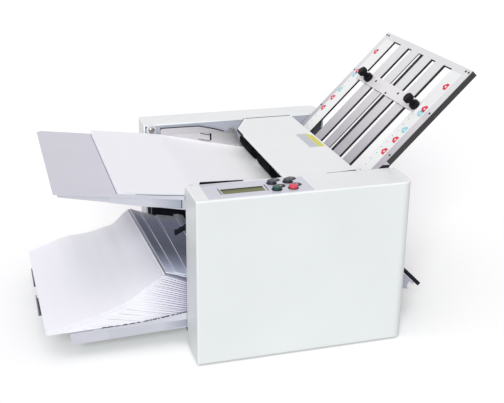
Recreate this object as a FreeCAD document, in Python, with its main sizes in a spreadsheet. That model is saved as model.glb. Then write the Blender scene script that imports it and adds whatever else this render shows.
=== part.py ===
import FreeCAD, Part

import math
import os
from types import SimpleNamespace

from FreeCAD import Placement, Rotation, Vector

# A desk paper folding machine. Sheets lie on the sloping feed table at the left, pass under the
# feed roller beneath the lid, run up into the 45 degree upper fold plate, buckle into the lower
# fold plate and leave to the left onto the delivery tray.
#
# Frame: +X is the feed direction, +Y points away from the operator, +Z is up, millimetres.
# The origin is on the surface that the machine stands on, under the middle of its overall reach.
# Distances called "along" are measured from the left face of the front cover, "in" from its front
# face and "up" from the covers' bottom edge.

DOC = FreeCAD.newDocument("paper_folding_machine")

SIZES = (
    # the casing
    ("body_left", -107.3),        # x of the front cover's left face
    ("body_front", -199.1),       # y of the front cover's front face
    ("foot_height", 3.0),         # the covers' bottom edge stands this far above the surface
    ("cover_width", 300.0),
    ("cover_height", 234.5),
    ("cover_wall", 2.5),
    ("front_depth", 61.2),
    ("rear_depth", 50.5),
    ("table_gap", 2.5),           # between the feed table and each cover
    ("rear_cover_extra", 4.0),    # the rear cover reaches this much further left
    ("cover_round", 14.0),        # vertical corner at the right end
    ("cover_corner", 3.0),        # vertical corner at the left end
    ("top_edge_round", 2.0),
    # the frame
    ("frame_sheet", 2.0),
    ("frame_inset", 0.3),         # the frame lies this far inside the cover's open edge
    ("frame_left", 4.0),
    ("frame_margin", 10.0),       # from the frames' right edge to the cover's right face
    ("frame_top", 231.5),
    ("frame_bottom", 3.0),
    ("base_thickness", 2.0),
    ("base_margin", 6.0),
    ("foot_radius", 9.0),
    ("foot_margin", 24.0),
    ("tie_margin_left", 20.0),
    ("tie_margin_right", 9.0),
    ("tie_low_up", 12.0),
    ("tie_radius", 5.0),
    ("screw_head_radius", 3.5),
    ("screw_head_height", 2.0),
    # control panel in the top of the front cover
    ("panel_along", 17.8),
    ("panel_in", 4.5),
    ("panel_length", 142.0),
    ("panel_width", 53.0),
    ("panel_sheet", 1.0),
    ("panel_recess", 0.8),
    ("screen_along", 36.9),
    ("screen_in", 17.0),
    ("screen_length", 64.8),
    ("screen_width", 23.6),
    ("screen_thickness", 7.0),
    ("button_radius", 6.0),
    ("button_proud", 4.5),
    ("button_travel", 1.2),
    ("button_near_along", 112.4),
    ("button_far_along", 135.0),
    ("button_front_in", 18.4),
    ("button_back_in", 42.1),
    ("board_up", 218.0),
    ("board_thickness", 1.6),
    # lid over the feed roller
    ("lid_along", 135.6),
    ("lid_length", 106.0),
    ("lid_side_gap", 0.75),
    ("lid_lugs_apart", 220.0),
    ("lid_sheet", 2.5),
    ("lid_skirt", 6.0),
    ("lid_chamfer_along", 27.0),
    ("lid_chamfer_in", 54.0),
    ("lid_pin_from_right", 6.0),
    ("lid_pin_drop", 12.0),
    ("lid_pin_radius", 3.0),
    ("lid_lug_radius", 5.5),
    ("lid_lug_width", 12.0),
    # feed table, ramp, guides and paper
    ("table_reach", 170.7),       # the table's left end is this far left of the cover
    ("table_end_up", 238.8),
    ("table_drop", 25.0),         # from its left end to its right end
    ("table_width", 281.5),
    ("table_sheet", 1.5),
    ("table_corner", 7.0),
    ("table_end_along", 16.0),
    ("table_flange", 16.0),
    ("table_flange_start", 5.2),
    ("ramp_length", 142.0),
    ("ramp_drop", 33.0),
    ("ear_radius", 7.9),
    ("ear_along", 7.5),
    ("ear_up", 226.9),
    ("ear_screw_radius", 5.6),
    ("guide_sheet", 1.0),
    ("guide_start", 22.5),
    ("guide_up", 227.5),
    ("guide_boss_along", 138.6),
    ("guide_boss_up", 211.9),
    ("guide_boss_radius", 8.5),
    ("paper_side_gap", 1.25),     # from the sheets' edge to the table's edge
    ("paper_length", 246.0),
    ("paper_reach", 88.5),        # its left edge is this far left of the cover
    ("paper_stack", 6.0),
    # feed roller
    ("feed_along", 166.5),
    ("feed_up", 204.0),
    ("feed_roller_radius", 16.0),
    ("feed_roller_width", 62.0),
    ("feed_roller_gap", 36.0),
    ("separator_length", 20.0),
    ("separator_height", 7.0),
    # fold rollers: roller 2 is the one that the other three touch
    ("fold_along", 223.8),
    ("fold_up", 153.0),
    ("roller_pitch", 15.0),       # half the distance between two rollers
    ("nip_gap", 0.4),
    ("shaft_radius", 5.0),
    ("running_gap", 0.05),
    ("end_gap", 1.6),             # between a roller's end and the frame
    ("bush_radius", 8.0),
    ("roller_1_angle", 120.0),
    ("roller_3_angle", 45.0),
    ("roller_4_angle", -45.0),
    # drive
    ("gear_module", 1.0),
    ("gear_teeth", 30.0),
    ("pinion_teeth", 18.0),
    ("gear_width", 8.0),
    ("gear_gap", 2.5),            # between the frame and a gear
    ("gear_backlash", 0.16),
    ("pinion_direction", 200.0),  # where the motor lies from roller 2, from +X towards +Z
    ("belt_pulley_radius", 6.2),
    ("belt_thickness", 1.4),
    ("belt_width", 7.0),
    ("belt_clearance", 0.3),
    ("motor_radius", 16.0),
    ("motor_length", 28.0),
    ("motor_shaft_radius", 3.0),
    # upper fold plate; its own x runs up the plate from roller 2, its own z is square to it
    ("plate_tilt", 45.0),
    ("plate_side_gap", 2.25),     # between the upper plate and each cover
    ("plate_top_reach", 280.2),
    ("plate_start", 43.5),
    ("plate_depth", 9.8),
    ("plate_sheet", 0.7),
    ("plate_gap", 0.8),           # room for the folded paper between the plate's two sheets
    ("rail_width", 5.0),
    ("slot_top_band", 10.0),
    ("slot_bottom_band", 9.0),
    ("outer_slot_middle", 85.7),
    ("outer_slot_width", 23.5),
    ("inner_slot_middle", 40.2),
    ("inner_slot_width", 12.4),
    ("middle_slot_width", 13.2),
    ("rod_slot_width", 24.0),     # the same slot in the back sheet, wider for the rod
    ("slot_shift", 1.5),          # the slots' middle stands this far behind the plate's middle
    ("plate_rod_radius", 1.8),
    ("plate_rod_shift", 5.6),
    ("plate_end_rail", 4.0),
    ("stop_from_top", 83.7),
    ("stop_bar_width", 19.4),
    ("stop_bar_length", 214.0),
    ("stop_bar_thickness", 1.5),
    ("stop_clearance", 0.3),
    ("knob_front_shift", 97.4),
    ("knob_rear_shift", 69.6),
    ("knob_radius", 7.5),
    ("knob_neck_radius", 4.6),
    ("knob_height", 21.5),
    ("knob_stud_radius", 2.0),
    # lower fold plate
    ("lower_reach", 168.8),
    ("lower_start", 43.5),
    ("lower_depth", 5.8),
    ("lower_sheet", 1.0),
    ("lower_rail_width", 6.0),
    ("lower_end_length", 14.0),
    ("lower_stop_along", 110.0),
    # delivery
    ("exit_along", 108.0),
    ("exit_up", 92.0),            # height of the nip
    ("exit_roller_radius", 8.0),
    ("idler_pitch", 62.0),
    ("idler_width", 14.0),
    ("exit_idler_radius", 12.0),
    ("liner_start", 5.0),
    ("liner_end", 96.0),
    ("liner_low", 50.0),
    ("liner_high", 178.0),
    ("liner_sheet", 0.8),
    ("arm_along", 62.0),
    ("arm_up", 157.0),
    ("arm_reach", 59.0),
    ("arm_drop", 28.5),
    ("arm_width", 8.0),
    ("arm_in", 149.0),
    ("arm_height", 4.5),
    ("tray_reach", 161.0),
    ("tray_end_up", 35.0),
    ("tray_rise", 8.0),
    ("tray_end_along", 95.0),
    ("tray_flange", 16.5),
    ("extension_reach", 197.6),
    ("extension_shift", 5.6),
    ("extension_arm", 10.0),      # the tabs stand this far beyond the plate's edge
    ("extension_tab_rise", 3.0),
    ("extension_inside", 60.0),
    ("extension_width", 190.0),
    ("extension_tab_width", 53.5),
    ("extension_tab_apart", 94.0),
    # power
    ("supply_length", 90.0),
    ("supply_height", 26.0),
    ("inlet_along", 40.0),
    ("inlet_up", 36.0),
    ("inlet_length", 48.0),
    ("inlet_height", 20.6),
    ("socket_length", 24.0),
    ("switch_along", 72.0),
    ("switch_length", 13.0),
    ("switch_radius", 9.0),
    ("switch_tilt", 8.0),
)


class Size:
    """A length that carries both its number and the spreadsheet formula that it comes from."""

    def __init__(self, number, formula):
        self.number = float(number)
        self.formula = formula

    def __float__(self):
        return self.number

    def __add__(self, other):
        other = as_size(other)
        return Size(self.number + other.number, "(%s + %s)" % (self.formula, other.formula))

    def __sub__(self, other):
        other = as_size(other)
        return Size(self.number - other.number, "(%s - %s)" % (self.formula, other.formula))

    def __mul__(self, other):
        other = as_size(other)
        return Size(self.number * other.number, "(%s * %s)" % (self.formula, other.formula))

    def __truediv__(self, other):
        other = as_size(other)
        return Size(self.number / other.number, "(%s / %s)" % (self.formula, other.formula))

    def __radd__(self, other):
        return as_size(other) + self

    def __rsub__(self, other):
        return as_size(other) - self

    def __rmul__(self, other):
        return as_size(other) * self

    def __neg__(self):
        return as_size(0.0) - self


def as_size(amount):
    """A plain number becomes a Size whose formula is the number itself."""
    if isinstance(amount, Size):
        return amount
    return Size(amount, "%.6f" % float(amount))


def write_sheet():
    """Write every driving size into the spreadsheet and return them by name."""
    sheet = DOC.addObject("Spreadsheet::Sheet", "sizes")
    book = {}
    for row, (alias, number) in enumerate(SIZES, start=1):
        sheet.set("A%d" % row, alias)
        sheet.set("B%d" % row, "%.3f" % number)
        sheet.setAlias("B%d" % row, alias)
        book[alias] = Size(number, "sizes." + alias)
    DOC.recompute()
    return SimpleNamespace(**book)


d = write_sheet()

# Places that many sub-parts share.
LEFT = d.body_left
FRONT = d.body_front
LOW = d.foot_height
COVER_TOP = LOW + d.cover_height
FRONT_EDGE = FRONT + d.front_depth
REAR_EDGE = FRONT_EDGE + d.table_width + 2.0 * d.table_gap
BACK = REAR_EDGE + d.rear_depth
FRAME_FRONT_IN = FRONT_EDGE - d.frame_inset               # inner face of the front side frame
FRAME_REAR_IN = REAR_EDGE + d.frame_inset                 # inner face of the rear side frame
FRAME_FRONT_OUT = FRAME_FRONT_IN - d.frame_sheet
FRAME_REAR_OUT = FRAME_REAR_IN + d.frame_sheet
FRAME_SPAN = FRAME_REAR_IN - FRAME_FRONT_IN
FRAME_RIGHT_REACH = d.cover_width - d.frame_margin
MIDDLE = (FRAME_FRONT_IN + FRAME_REAR_IN) / 2.0           # y of the paper's middle line
COVER_GAP = REAR_EDGE - FRONT_EDGE
LID_WIDTH = COVER_GAP - 2.0 * d.lid_side_gap
PAPER_WIDTH = d.table_width - 2.0 * d.paper_side_gap
PLATE_WIDTH = COVER_GAP - 2.0 * d.plate_side_gap
PANEL_TOP = COVER_TOP - d.panel_recess + d.panel_sheet
FEED_X = LEFT + d.feed_along
FEED_Z = LOW + d.feed_up
TABLE_LEFT = LEFT - d.table_reach
TABLE_LEFT_Z = LOW + d.table_end_up
TABLE_RIGHT = LEFT + d.table_end_along
TABLE_RIGHT_Z = TABLE_LEFT_Z - d.table_drop
RAMP_RIGHT = TABLE_RIGHT + d.ramp_length
RAMP_RIGHT_Z = TABLE_RIGHT_Z - d.ramp_drop
TRAY_LEFT = LEFT - d.tray_reach
TRAY_LEFT_Z = LOW + d.tray_end_up
TRAY_RIGHT = LEFT + d.tray_end_along
TRAY_RIGHT_Z = TRAY_LEFT_Z + d.tray_rise
LID_PIN_X = LEFT + d.lid_along + d.lid_length - d.lid_pin_from_right
LID_PIN_Z = COVER_TOP - d.lid_pin_drop
EXIT_X = LEFT + d.exit_along
EXIT_Z = LOW + d.exit_up
ARM_X = LEFT + d.arm_along
ARM_Z = LOW + d.arm_up
TIE_PLACES = (
    (LEFT + d.tie_margin_left, LOW + d.tie_low_up),
    (LEFT + FRAME_RIGHT_REACH - d.tie_margin_right, LOW + d.tie_low_up),
    (LEFT + FRAME_RIGHT_REACH - d.tie_margin_right, LOW + d.fold_up),
    (ARM_X, ARM_Z),
)

ROLLER_CENTRES = {2: (LEFT + d.fold_along, LOW + d.fold_up)}
for number, angle in ((1, d.roller_1_angle), (3, d.roller_3_angle), (4, d.roller_4_angle)):
    turn = math.radians(float(angle))
    ROLLER_CENTRES[number] = (
        ROLLER_CENTRES[2][0] + 2.0 * math.cos(turn) * d.roller_pitch,
        ROLLER_CENTRES[2][1] + 2.0 * math.sin(turn) * d.roller_pitch,
    )

TURN = {
    "x": Rotation(Vector(0, 1, 0), 90),
    "y": Rotation(Vector(1, 0, 0), -90),
    "z": Rotation(),
}
SKETCH_PLANE = {"y": "XZ_Plane", "z": "XY_Plane", "x": "YZ_Plane"}

NODES = {}


# ---------------------------------------------------------------- small builders

def bind(item, prop, amount):
    """Tie one property of a document object to a spreadsheet formula."""
    item.setExpression(prop, as_size(amount).formula)


def place(item, x, y, z):
    """Tie an object's position to three sizes."""
    for axis, amount in zip("xyz", (x, y, z)):
        bind(item, "Placement.Base." + axis, amount)
    return item


def tilt(item, x, y, z, degrees):
    """Stand an object in a frame that is turned about +Y and starts at the given point."""
    item.Placement = Placement(Vector(), Rotation(Vector(0, 1, 0), float(degrees)))
    return place(item, x, y, z)


def box(label, x, y, z, length, width, height):
    """A block with its lowest corner at x, y, z."""
    item = DOC.addObject("Part::Box", label)
    bind(item, "Length", length)
    bind(item, "Width", width)
    bind(item, "Height", height)
    return place(item, x, y, z)


def rod(label, axis, x, y, z, radius, length):
    """A cylinder that starts at x, y, z and runs along one axis."""
    item = DOC.addObject("Part::Cylinder", label)
    item.Placement = Placement(Vector(), TURN[axis])
    bind(item, "Radius", radius)
    bind(item, "Height", length)
    return place(item, x, y, z)


def fuse(label, *parts):
    """Parts that overlap or touch, joined into one solid."""
    item = DOC.addObject("Part::MultiFuse", label)
    item.Shapes = list(parts)
    item.Refine = True
    return item


def group(label, *parts):
    """Separate solids that share one node."""
    item = DOC.addObject("Part::Compound", label)
    item.Links = list(parts)
    return item


def cut(label, base, *tools):
    """A base with one or more tools taken away."""
    item = DOC.addObject("Part::Cut", label)
    item.Base = base
    item.Tool = tools[0] if len(tools) == 1 else fuse(label + "_tools", *tools)
    item.Refine = True
    return item


def soften(label, base, radius, chosen):
    """Round the edges for which chosen(edge) is true."""
    DOC.recompute()
    edges = [number for number, edge in enumerate(base.Shape.Edges, start=1) if chosen(edge)]
    item = DOC.addObject("Part::Fillet", label)
    item.Base = base
    item.Edges = [(number, float(radius), float(radius)) for number in edges]
    return item


def outline_edges(points):
    """Lines and tangent arcs round a closed outline; a third value rounds that corner."""
    corners = []
    count = len(points)
    for index, point in enumerate(points):
        here = Vector(float(point[0]), float(point[1]), 0)
        radius = float(point[2]) if len(point) > 2 else 0.0
        if radius == 0.0:
            corners.append((here, here, None))
            continue
        before = points[index - 1]
        after = points[(index + 1) % count]
        back = (Vector(float(before[0]), float(before[1]), 0) - here).normalize()
        ahead = (Vector(float(after[0]), float(after[1]), 0) - here).normalize()
        half = back.getAngle(ahead) / 2.0
        reach = radius / math.tan(half)
        bisector = (back + ahead).normalize()
        middle = here + bisector * (radius / math.sin(half) - radius)
        corners.append((here + back * reach, here + ahead * reach, middle))
    edges = []
    for index, (start, end, middle) in enumerate(corners):
        if middle is not None:
            edges.append(Part.Arc(start, middle, end))
        following = corners[(index + 1) % count][0]
        if (following - end).Length > 1e-6:
            edges.append(Part.LineSegment(end, following))
    return edges


def prism(label, axis, start, depth, points, holes=()):
    """A padded sketch: points lie across the axis, holes are (u, v, radius) circles."""
    body = DOC.addObject("PartDesign::Body", label)
    sketch = body.newObject("Sketcher::SketchObject", label + "_sketch")
    plane = [item for item in body.Origin.OriginFeatures if item.Role == SKETCH_PLANE[axis]][0]
    sketch.AttachmentSupport = [(plane, "")]
    sketch.MapMode = "FlatFace"
    for edge in outline_edges(points):
        sketch.addGeometry(edge, False)
    for u, v, radius in holes:
        centre = Vector(float(u), float(v), 0)
        sketch.addGeometry(Part.Circle(centre, Vector(0, 0, 1), float(radius)), False)
    pad = body.newObject("PartDesign::Pad", label + "_pad")
    pad.Profile = sketch
    bind(pad, "Length", depth)
    pad.Reversed = axis == "y"
    body.Tip = pad
    bind(body, "Placement.Base." + axis, start)
    return body


def turned(label, axis, x, y, z, steps):
    """A turned piece: steps are (radius, from, to) along the axis, measured from x, y, z."""
    parts = []
    for index, (radius, begin, end) in enumerate(steps):
        offset = {"x": (begin, 0, 0), "y": (0, begin, 0), "z": (0, 0, begin)}[axis]
        parts.append(rod("%s_step_%d" % (label, index), axis, x + offset[0], y + offset[1],
                         z + offset[2], radius, as_size(end) - begin))
    return parts[0] if len(parts) == 1 else fuse(label, *parts)


def node(label, item):
    """Give a finished sub-part its label and keep it for export."""
    item.Label = label
    NODES[label] = item
    return item


# ---------------------------------------------------------------- casing

def cover_outline(x, y_open, y_outer, width, inner):
    """Plan of a cover, open along y_open, grown inwards by inner; right corners are large."""
    wall = inner
    sign = 1.0 if float(y_outer) < float(y_open) else -1.0
    left = float(x) + wall
    right = float(x) + float(width) - wall
    outer = float(y_outer) + sign * wall
    opened = float(y_open) + (sign * 5.0 if wall else 0.0)
    large = float(d.cover_round) - wall
    small = max(float(d.cover_corner) - wall, 0.5)
    return [(left, opened), (right, opened), (right, outer, large), (left, outer, small)]


def hollow_cover(label, x, y_open, y_outer, width):
    """A casing shell: top, outer and end walls, open underneath and towards the machine."""
    wall = float(d.cover_wall)
    outside = prism(label + "_outside", "z", LOW, d.cover_height,
                    cover_outline(x, y_open, y_outer, width, 0.0))
    inside = prism(label + "_inside", "z", LOW - 1.0, d.cover_height - d.cover_wall + 1.0,
                   cover_outline(x, y_open, y_outer, width, wall))
    top = float(COVER_TOP)
    opened = float(y_open)

    def outer_top_edge(edge):
        box_of = edge.BoundBox
        at_top = abs(box_of.ZMin - top) < 1e-4 and abs(box_of.ZMax - top) < 1e-4
        along_opening = abs(box_of.YMin - opened) < 1e-4 and abs(box_of.YMax - opened) < 1e-4
        return at_top and not along_opening

    rounded = soften(label + "_rounded", outside, d.top_edge_round, outer_top_edge)
    return cut(label + "_shell", rounded, inside)


def button_places():
    """Name, x and y of each button's centre."""
    near = LEFT + d.button_near_along
    far = LEFT + d.button_far_along
    first = FRONT + d.button_front_in
    second = FRONT + d.button_back_in
    return (
        ("button_back", near, second),
        ("button_next", far, second),
        ("button_start", near, first),
        ("button_stop", far, first),
    )


def arm_notch(label, y):
    """Room in a cover's right end for the side frame's arm."""
    return box(label, LEFT + d.cover_width - 5.0, y, LOW + 35.0, 8.0,
               d.frame_sheet + d.frame_inset + 1.3, as_size(65.0))


def front_cover():
    shell = hollow_cover("front_cover", LEFT, FRONT_EDGE, FRONT, d.cover_width)
    tools = [
        box("panel_seat", LEFT + d.panel_along, FRONT + d.panel_in, COVER_TOP - d.panel_recess,
            d.panel_length, d.panel_width, d.panel_recess + 1.0),
        box("screen_opening", LEFT + d.screen_along, FRONT + d.screen_in,
            COVER_TOP - d.cover_wall - 1.0, d.screen_length, d.screen_width, d.cover_wall + 2.0),
    ]
    for name, x, y in button_places():
        tools.append(rod(name + "_hole", "z", x, y, COVER_TOP - d.cover_wall - 1.0,
                         d.button_radius + 0.3, d.cover_wall + 2.0))
    tools.append(arm_notch("front_notch", FRONT_EDGE - d.frame_inset - d.frame_sheet - 0.3))
    node("front_cover", cut("front_cover_cut", shell, *tools))


def rear_cover():
    x = LEFT - d.rear_cover_extra
    width = d.cover_width + d.rear_cover_extra
    shell = hollow_cover("rear_cover", x, REAR_EDGE, BACK, width)
    tools = [
        box("inlet_opening", LEFT + d.inlet_along, BACK - d.cover_wall - 1.0, LOW + d.inlet_up,
            d.inlet_length, d.cover_wall + 2.0, d.inlet_height),
    ]
    tools.append(arm_notch("rear_notch", REAR_EDGE - 1.0))
    vent_count = 9
    vent_pitch = 9.0
    for index in range(vent_count):
        tools.append(box("vent_%d" % index, LEFT + 200.0 + index * vent_pitch,
                         BACK - d.cover_wall - 1.0, LOW + 120.0,
                         4.0, d.cover_wall + 2.0, 60.0))
    node("rear_cover", cut("rear_cover_cut", shell, *tools))


def base_plate():
    node("base_plate", box("base", LEFT + d.base_margin, FRAME_FRONT_IN, LOW + 1.0,
                           FRAME_RIGHT_REACH - d.base_margin, FRAME_SPAN, d.base_thickness))
    feet = []
    for x in (LEFT + d.foot_margin, LEFT + d.cover_width - d.foot_margin):
        for y in (FRAME_FRONT_IN + d.foot_margin, FRAME_REAR_IN - d.foot_margin):
            feet.append(rod("foot_%d" % len(feet), "z", x, y, 0.0, d.foot_radius, LOW + 1.0))
    node("rubber_feet", group("feet", *feet))


def shaft_places():
    """x and z of every shaft that runs through both side frames."""
    return [
        (FEED_X, FEED_Z),
        ROLLER_CENTRES[1],
        ROLLER_CENTRES[2],
        ROLLER_CENTRES[3],
        ROLLER_CENTRES[4],
        (EXIT_X, EXIT_Z - d.exit_roller_radius),
        (EXIT_X, EXIT_Z + d.exit_idler_radius + d.nip_gap),
    ]


def side_frame(label, y):
    """A sheet-steel side with a notched arm at the right that carries the lower fold plate."""
    left = LEFT + d.frame_left
    right = LEFT + FRAME_RIGHT_REACH
    bottom = LOW + d.frame_bottom
    top = LOW + d.frame_top
    arm = (  # the arm's corners, along and up
        (327.0, 43.5), (333.0, 41.5), (331.5, 48.5), (335.0, 53.5), (341.0, 48.5),
        (343.0, 50.5), (327.0, 66.0),
    )
    points = [(left, bottom), (right, bottom), (right, LOW + 36.0)]
    points += [(LEFT + along, LOW + up) for along, up in arm]
    points += [(right, LOW + 103.0), (right, top, 6.0), (left, top, 6.0)]
    holes = [(x, z, d.bush_radius) for x, z in shaft_places()]
    holes.append((LID_PIN_X, LID_PIN_Z, d.lid_pin_radius))
    node(label, prism(label, "y", y, d.frame_sheet, points, holes))


def ties_and_screws():
    """Round bars between the frames, with a screw head outside each end."""
    bars = []
    heads = []
    for index, (x, z) in enumerate(TIE_PLACES):
        bars.append(rod("tie_%d" % index, "y", x, FRAME_FRONT_IN, z, d.tie_radius, FRAME_SPAN))
        heads.append(rod("head_front_%d" % index, "y", x, FRAME_FRONT_OUT - d.screw_head_height,
                         z, d.screw_head_radius, d.screw_head_height))
        heads.append(rod("head_rear_%d" % index, "y", x, FRAME_REAR_OUT,
                         z, d.screw_head_radius, d.screw_head_height))
    node("tie_rods", group("ties", *bars))
    node("frame_screws", group("frame_heads", *heads))


# ---------------------------------------------------------------- control panel

def control_panel():
    sheet = box("panel_sheet_metal", LEFT + d.panel_along, FRONT + d.panel_in,
                COVER_TOP - d.panel_recess, d.panel_length, d.panel_width, d.panel_sheet)
    tools = [box("panel_window", LEFT + d.screen_along, FRONT + d.screen_in,
                 COVER_TOP - d.panel_recess - 1.0, d.screen_length, d.screen_width,
                 d.panel_sheet + 2.0)]
    for name, x, y in button_places():
        tools.append(rod(name + "_clearance", "z", x, y, COVER_TOP - d.panel_recess - 1.0,
                         d.button_radius + 0.3, d.panel_sheet + 2.0))
    node("control_panel", cut("panel_cut", sheet, *tools))
    node("display", box("display_block", LEFT + d.screen_along, FRONT + d.screen_in,
                        PANEL_TOP - 0.3 - d.screen_thickness, d.screen_length, d.screen_width,
                        d.screen_thickness))


def control_board():
    """The circuit board under the panel, with posts up to the cover and down-turned key pads."""
    board_top = LOW + d.board_up + d.board_thickness
    under_cover = COVER_TOP - d.cover_wall
    parts = [box("board_sheet", LEFT + d.panel_along - 8.0, FRONT + 6.0, LOW + d.board_up,
                 d.panel_length + 12.0, 50.0, d.board_thickness)]
    for x in (LEFT + d.panel_along - 5.0, LEFT + d.panel_along + d.panel_length):
        parts.append(rod("board_post_%d" % len(parts), "z", x, FRONT + 12.0, board_top,
                         2.5, under_cover - board_top))
    parts.append(box("screen_riser", LEFT + d.screen_along + 4.0, FRONT + d.screen_in + 3.0,
                     board_top, d.screen_length - 8.0, d.screen_width - 6.0,
                     PANEL_TOP - 0.3 - d.screen_thickness - board_top))
    for name, x, y in button_places():
        parts.append(rod(name + "_switch", "z", x, y, board_top, 2.5, 2.0))
    node("control_board", fuse("board", *parts))


def push_button(label, x, y):
    """A round cap with a retaining flange under the cover and a stem down to its switch."""
    flange_top = COVER_TOP - d.cover_wall - 0.3
    flange_bottom = flange_top - 1.6
    stem_bottom = LOW + d.board_up + d.board_thickness + 2.0 + d.button_travel + 0.1
    cap = rod(label + "_cap", "z", x, y, flange_top, d.button_radius,
              PANEL_TOP + d.button_proud - flange_top)
    top = float(PANEL_TOP + d.button_proud)
    soft_cap = soften(label + "_soft", cap, 1.2,
                      lambda edge: edge.BoundBox.ZMin > top - 0.01)
    flange = rod(label + "_flange", "z", x, y, flange_bottom, d.button_radius + 1.4,
                 flange_top - flange_bottom)
    stem = rod(label + "_stem", "z", x, y, stem_bottom, 2.4, flange_bottom - stem_bottom)
    node(label, fuse(label + "_whole", soft_cap, flange, stem))


# ---------------------------------------------------------------- lid

def top_lid():
    """The lid over the feed roller: a plate with two end ribs and two lugs that turn on a pin."""
    left = float(LEFT + d.lid_along)
    right = float(LEFT + d.lid_along + d.lid_length)
    near = float(MIDDLE - LID_WIDTH / 2.0)
    far = float(MIDDLE + LID_WIDTH / 2.0)
    along = float(d.lid_chamfer_along)
    deep = float(d.lid_chamfer_in)
    outline = [(left, near, 3.0), (right, near, 3.0), (right, far, 3.0),
               (left + along, far, 8.0), (left, far - deep, 14.0)]
    plate = prism("lid_plate", "z", COVER_TOP - d.lid_sheet, d.lid_sheet, outline)
    low = COVER_TOP - d.lid_sheet - d.lid_skirt
    rib_right = LEFT + d.lid_along + d.lid_length - 4.0
    pieces = [
        plate,
        box("lid_rib_front", LEFT + d.lid_along + 8.0, MIDDLE - LID_WIDTH / 2.0, low,
            rib_right - LEFT - d.lid_along - 8.0, d.lid_sheet, d.lid_skirt),
        box("lid_rib_rear", LEFT + d.lid_along + 36.0, MIDDLE + LID_WIDTH / 2.0 - d.lid_sheet, low,
            rib_right - LEFT - d.lid_along - 36.0, d.lid_sheet, d.lid_skirt),
    ]
    bores = []
    under = COVER_TOP - d.lid_sheet
    half_apart = d.lid_lugs_apart / 2.0
    for y in (MIDDLE - half_apart, MIDDLE + half_apart - d.lid_lug_width):
        name = "lid_lug_%d" % len(pieces)
        pieces.append(rod(name, "y", LID_PIN_X, y, LID_PIN_Z, d.lid_lug_radius, d.lid_lug_width))
        pieces.append(box(name + "_web", LID_PIN_X - d.lid_lug_radius, y, LID_PIN_Z,
                          2.0 * d.lid_lug_radius, d.lid_lug_width, under - LID_PIN_Z))
        bores.append(rod(name + "_bore", "y", LID_PIN_X, y - 1.0, LID_PIN_Z,
                         d.lid_pin_radius + d.running_gap, d.lid_lug_width + 2.0))
    node("top_lid", cut("lid", fuse("lid_with_lugs", *pieces), *bores))
    node("lid_hinge_pin", rod("lid_pin", "y", LID_PIN_X, FRAME_FRONT_OUT, LID_PIN_Z,
                              d.lid_pin_radius, FRAME_SPAN + 2.0 * d.frame_sheet))


# ---------------------------------------------------------------- feed side

def table_near():
    return MIDDLE - d.table_width / 2.0


def table_far():
    return MIDDLE + d.table_width / 2.0


def feed_table():
    """A folded sheet: a sloping top, side flanges that deepen towards the machine, two ears."""
    left = float(TABLE_LEFT)
    left_z = float(TABLE_LEFT_Z)
    right = float(TABLE_RIGHT)
    right_z = float(TABLE_RIGHT_Z)
    slope = (right_z - left_z) / (right - left)
    sheet = float(d.table_sheet)
    start = left + float(d.table_flange_start)
    meet = float(LEFT) - 4.0
    meet_z = left_z + slope * (meet - left) - float(d.table_flange)
    outline = [(left, left_z), (right, right_z), (right, right_z - float(d.table_flange)),
               (meet, meet_z), (start, left_z + slope * (start - left) - 4.6),
               (start, left_z + slope * (start - left) - sheet), (left, left_z - sheet)]
    below = [(left - 5.0, left_z - sheet - slope * 5.0), (right + 5.0, right_z - sheet + slope * 5.0),
             (right + 5.0, right_z - 60.0), (left - 5.0, right_z - 60.0)]
    solid = prism("table_block", "y", table_near(), d.table_width, outline)
    hollow = prism("table_hollow", "y", table_near() + d.table_sheet,
                   d.table_width - 2.0 * d.table_sheet, below)
    pieces = [cut("table_tray", solid, hollow)]
    ear_x = float(LEFT + d.ear_along)
    ear_z = float(LOW + d.ear_up)
    ear = float(d.ear_radius)
    foot = right_z - float(d.table_flange) + 4.0
    for y in (table_near() - d.table_sheet, table_far()):
        name = "table_ear_%d" % len(pieces)
        web = prism(name + "_web", "y", y, d.table_sheet,
                    [(ear_x - ear, foot), (ear_x + ear, foot), (ear_x + ear, ear_z),
                     (ear_x - ear, ear_z)])
        eye = rod(name + "_eye", "y", LEFT + d.ear_along, y, LOW + d.ear_up, d.ear_radius,
                  d.table_sheet)
        pieces.append(fuse(name, web, eye))
    bores = []
    for y in (table_near() - d.table_sheet - 1.0, table_far() - 1.0):
        bores.append(rod("ear_bore_%d" % len(bores), "y", LEFT + d.ear_along, y, LOW + d.ear_up,
                         3.0, d.table_sheet + 2.0))
    corner = float(d.table_corner)
    far = float(table_far())
    bores.append(prism("table_corner_cut", "z", TABLE_LEFT_Z - 40.0, as_size(60.0),
                       [(left - 1.0, far - corner - 1.0), (left + corner + 1.0, far + 1.0),
                        (left - 1.0, far + 1.0)]))
    node("feed_table", cut("table", fuse("table_with_ears", *pieces), *bores))


def table_screws():
    """The two screws that hang the table's ears on the side frames."""
    reach = table_near() - d.table_sheet - FRAME_FRONT_IN
    x = LEFT + d.ear_along
    z = LOW + d.ear_up
    front = turned("table_screw_front", "y", x, FRAME_FRONT_IN, z,
                   ((3.0, 0.0, reach + d.table_sheet), (d.ear_screw_radius, reach + d.table_sheet,
                    reach + d.table_sheet + 3.0)))
    far = table_far()
    rear = turned("table_screw_rear", "y", x, far - 3.0, z,
                  ((d.ear_screw_radius, 0.0, 3.0), (3.0, 3.0, FRAME_REAR_IN - far + 3.0)))
    node("table_screws", group("table_screw_pair", front, rear))


def feed_ramp():
    """The sheet that carries the stack on down to the feed roller, fixed between the frames."""
    left = float(TABLE_RIGHT)
    left_z = float(TABLE_RIGHT_Z)
    right = float(RAMP_RIGHT)
    right_z = float(RAMP_RIGHT_Z)
    sheet = float(d.table_sheet)
    node("feed_ramp", prism("ramp", "y", FRAME_FRONT_IN, FRAME_SPAN,
                            [(left, left_z), (right, right_z), (right, right_z - sheet),
                             (left, left_z - sheet)]))


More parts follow.
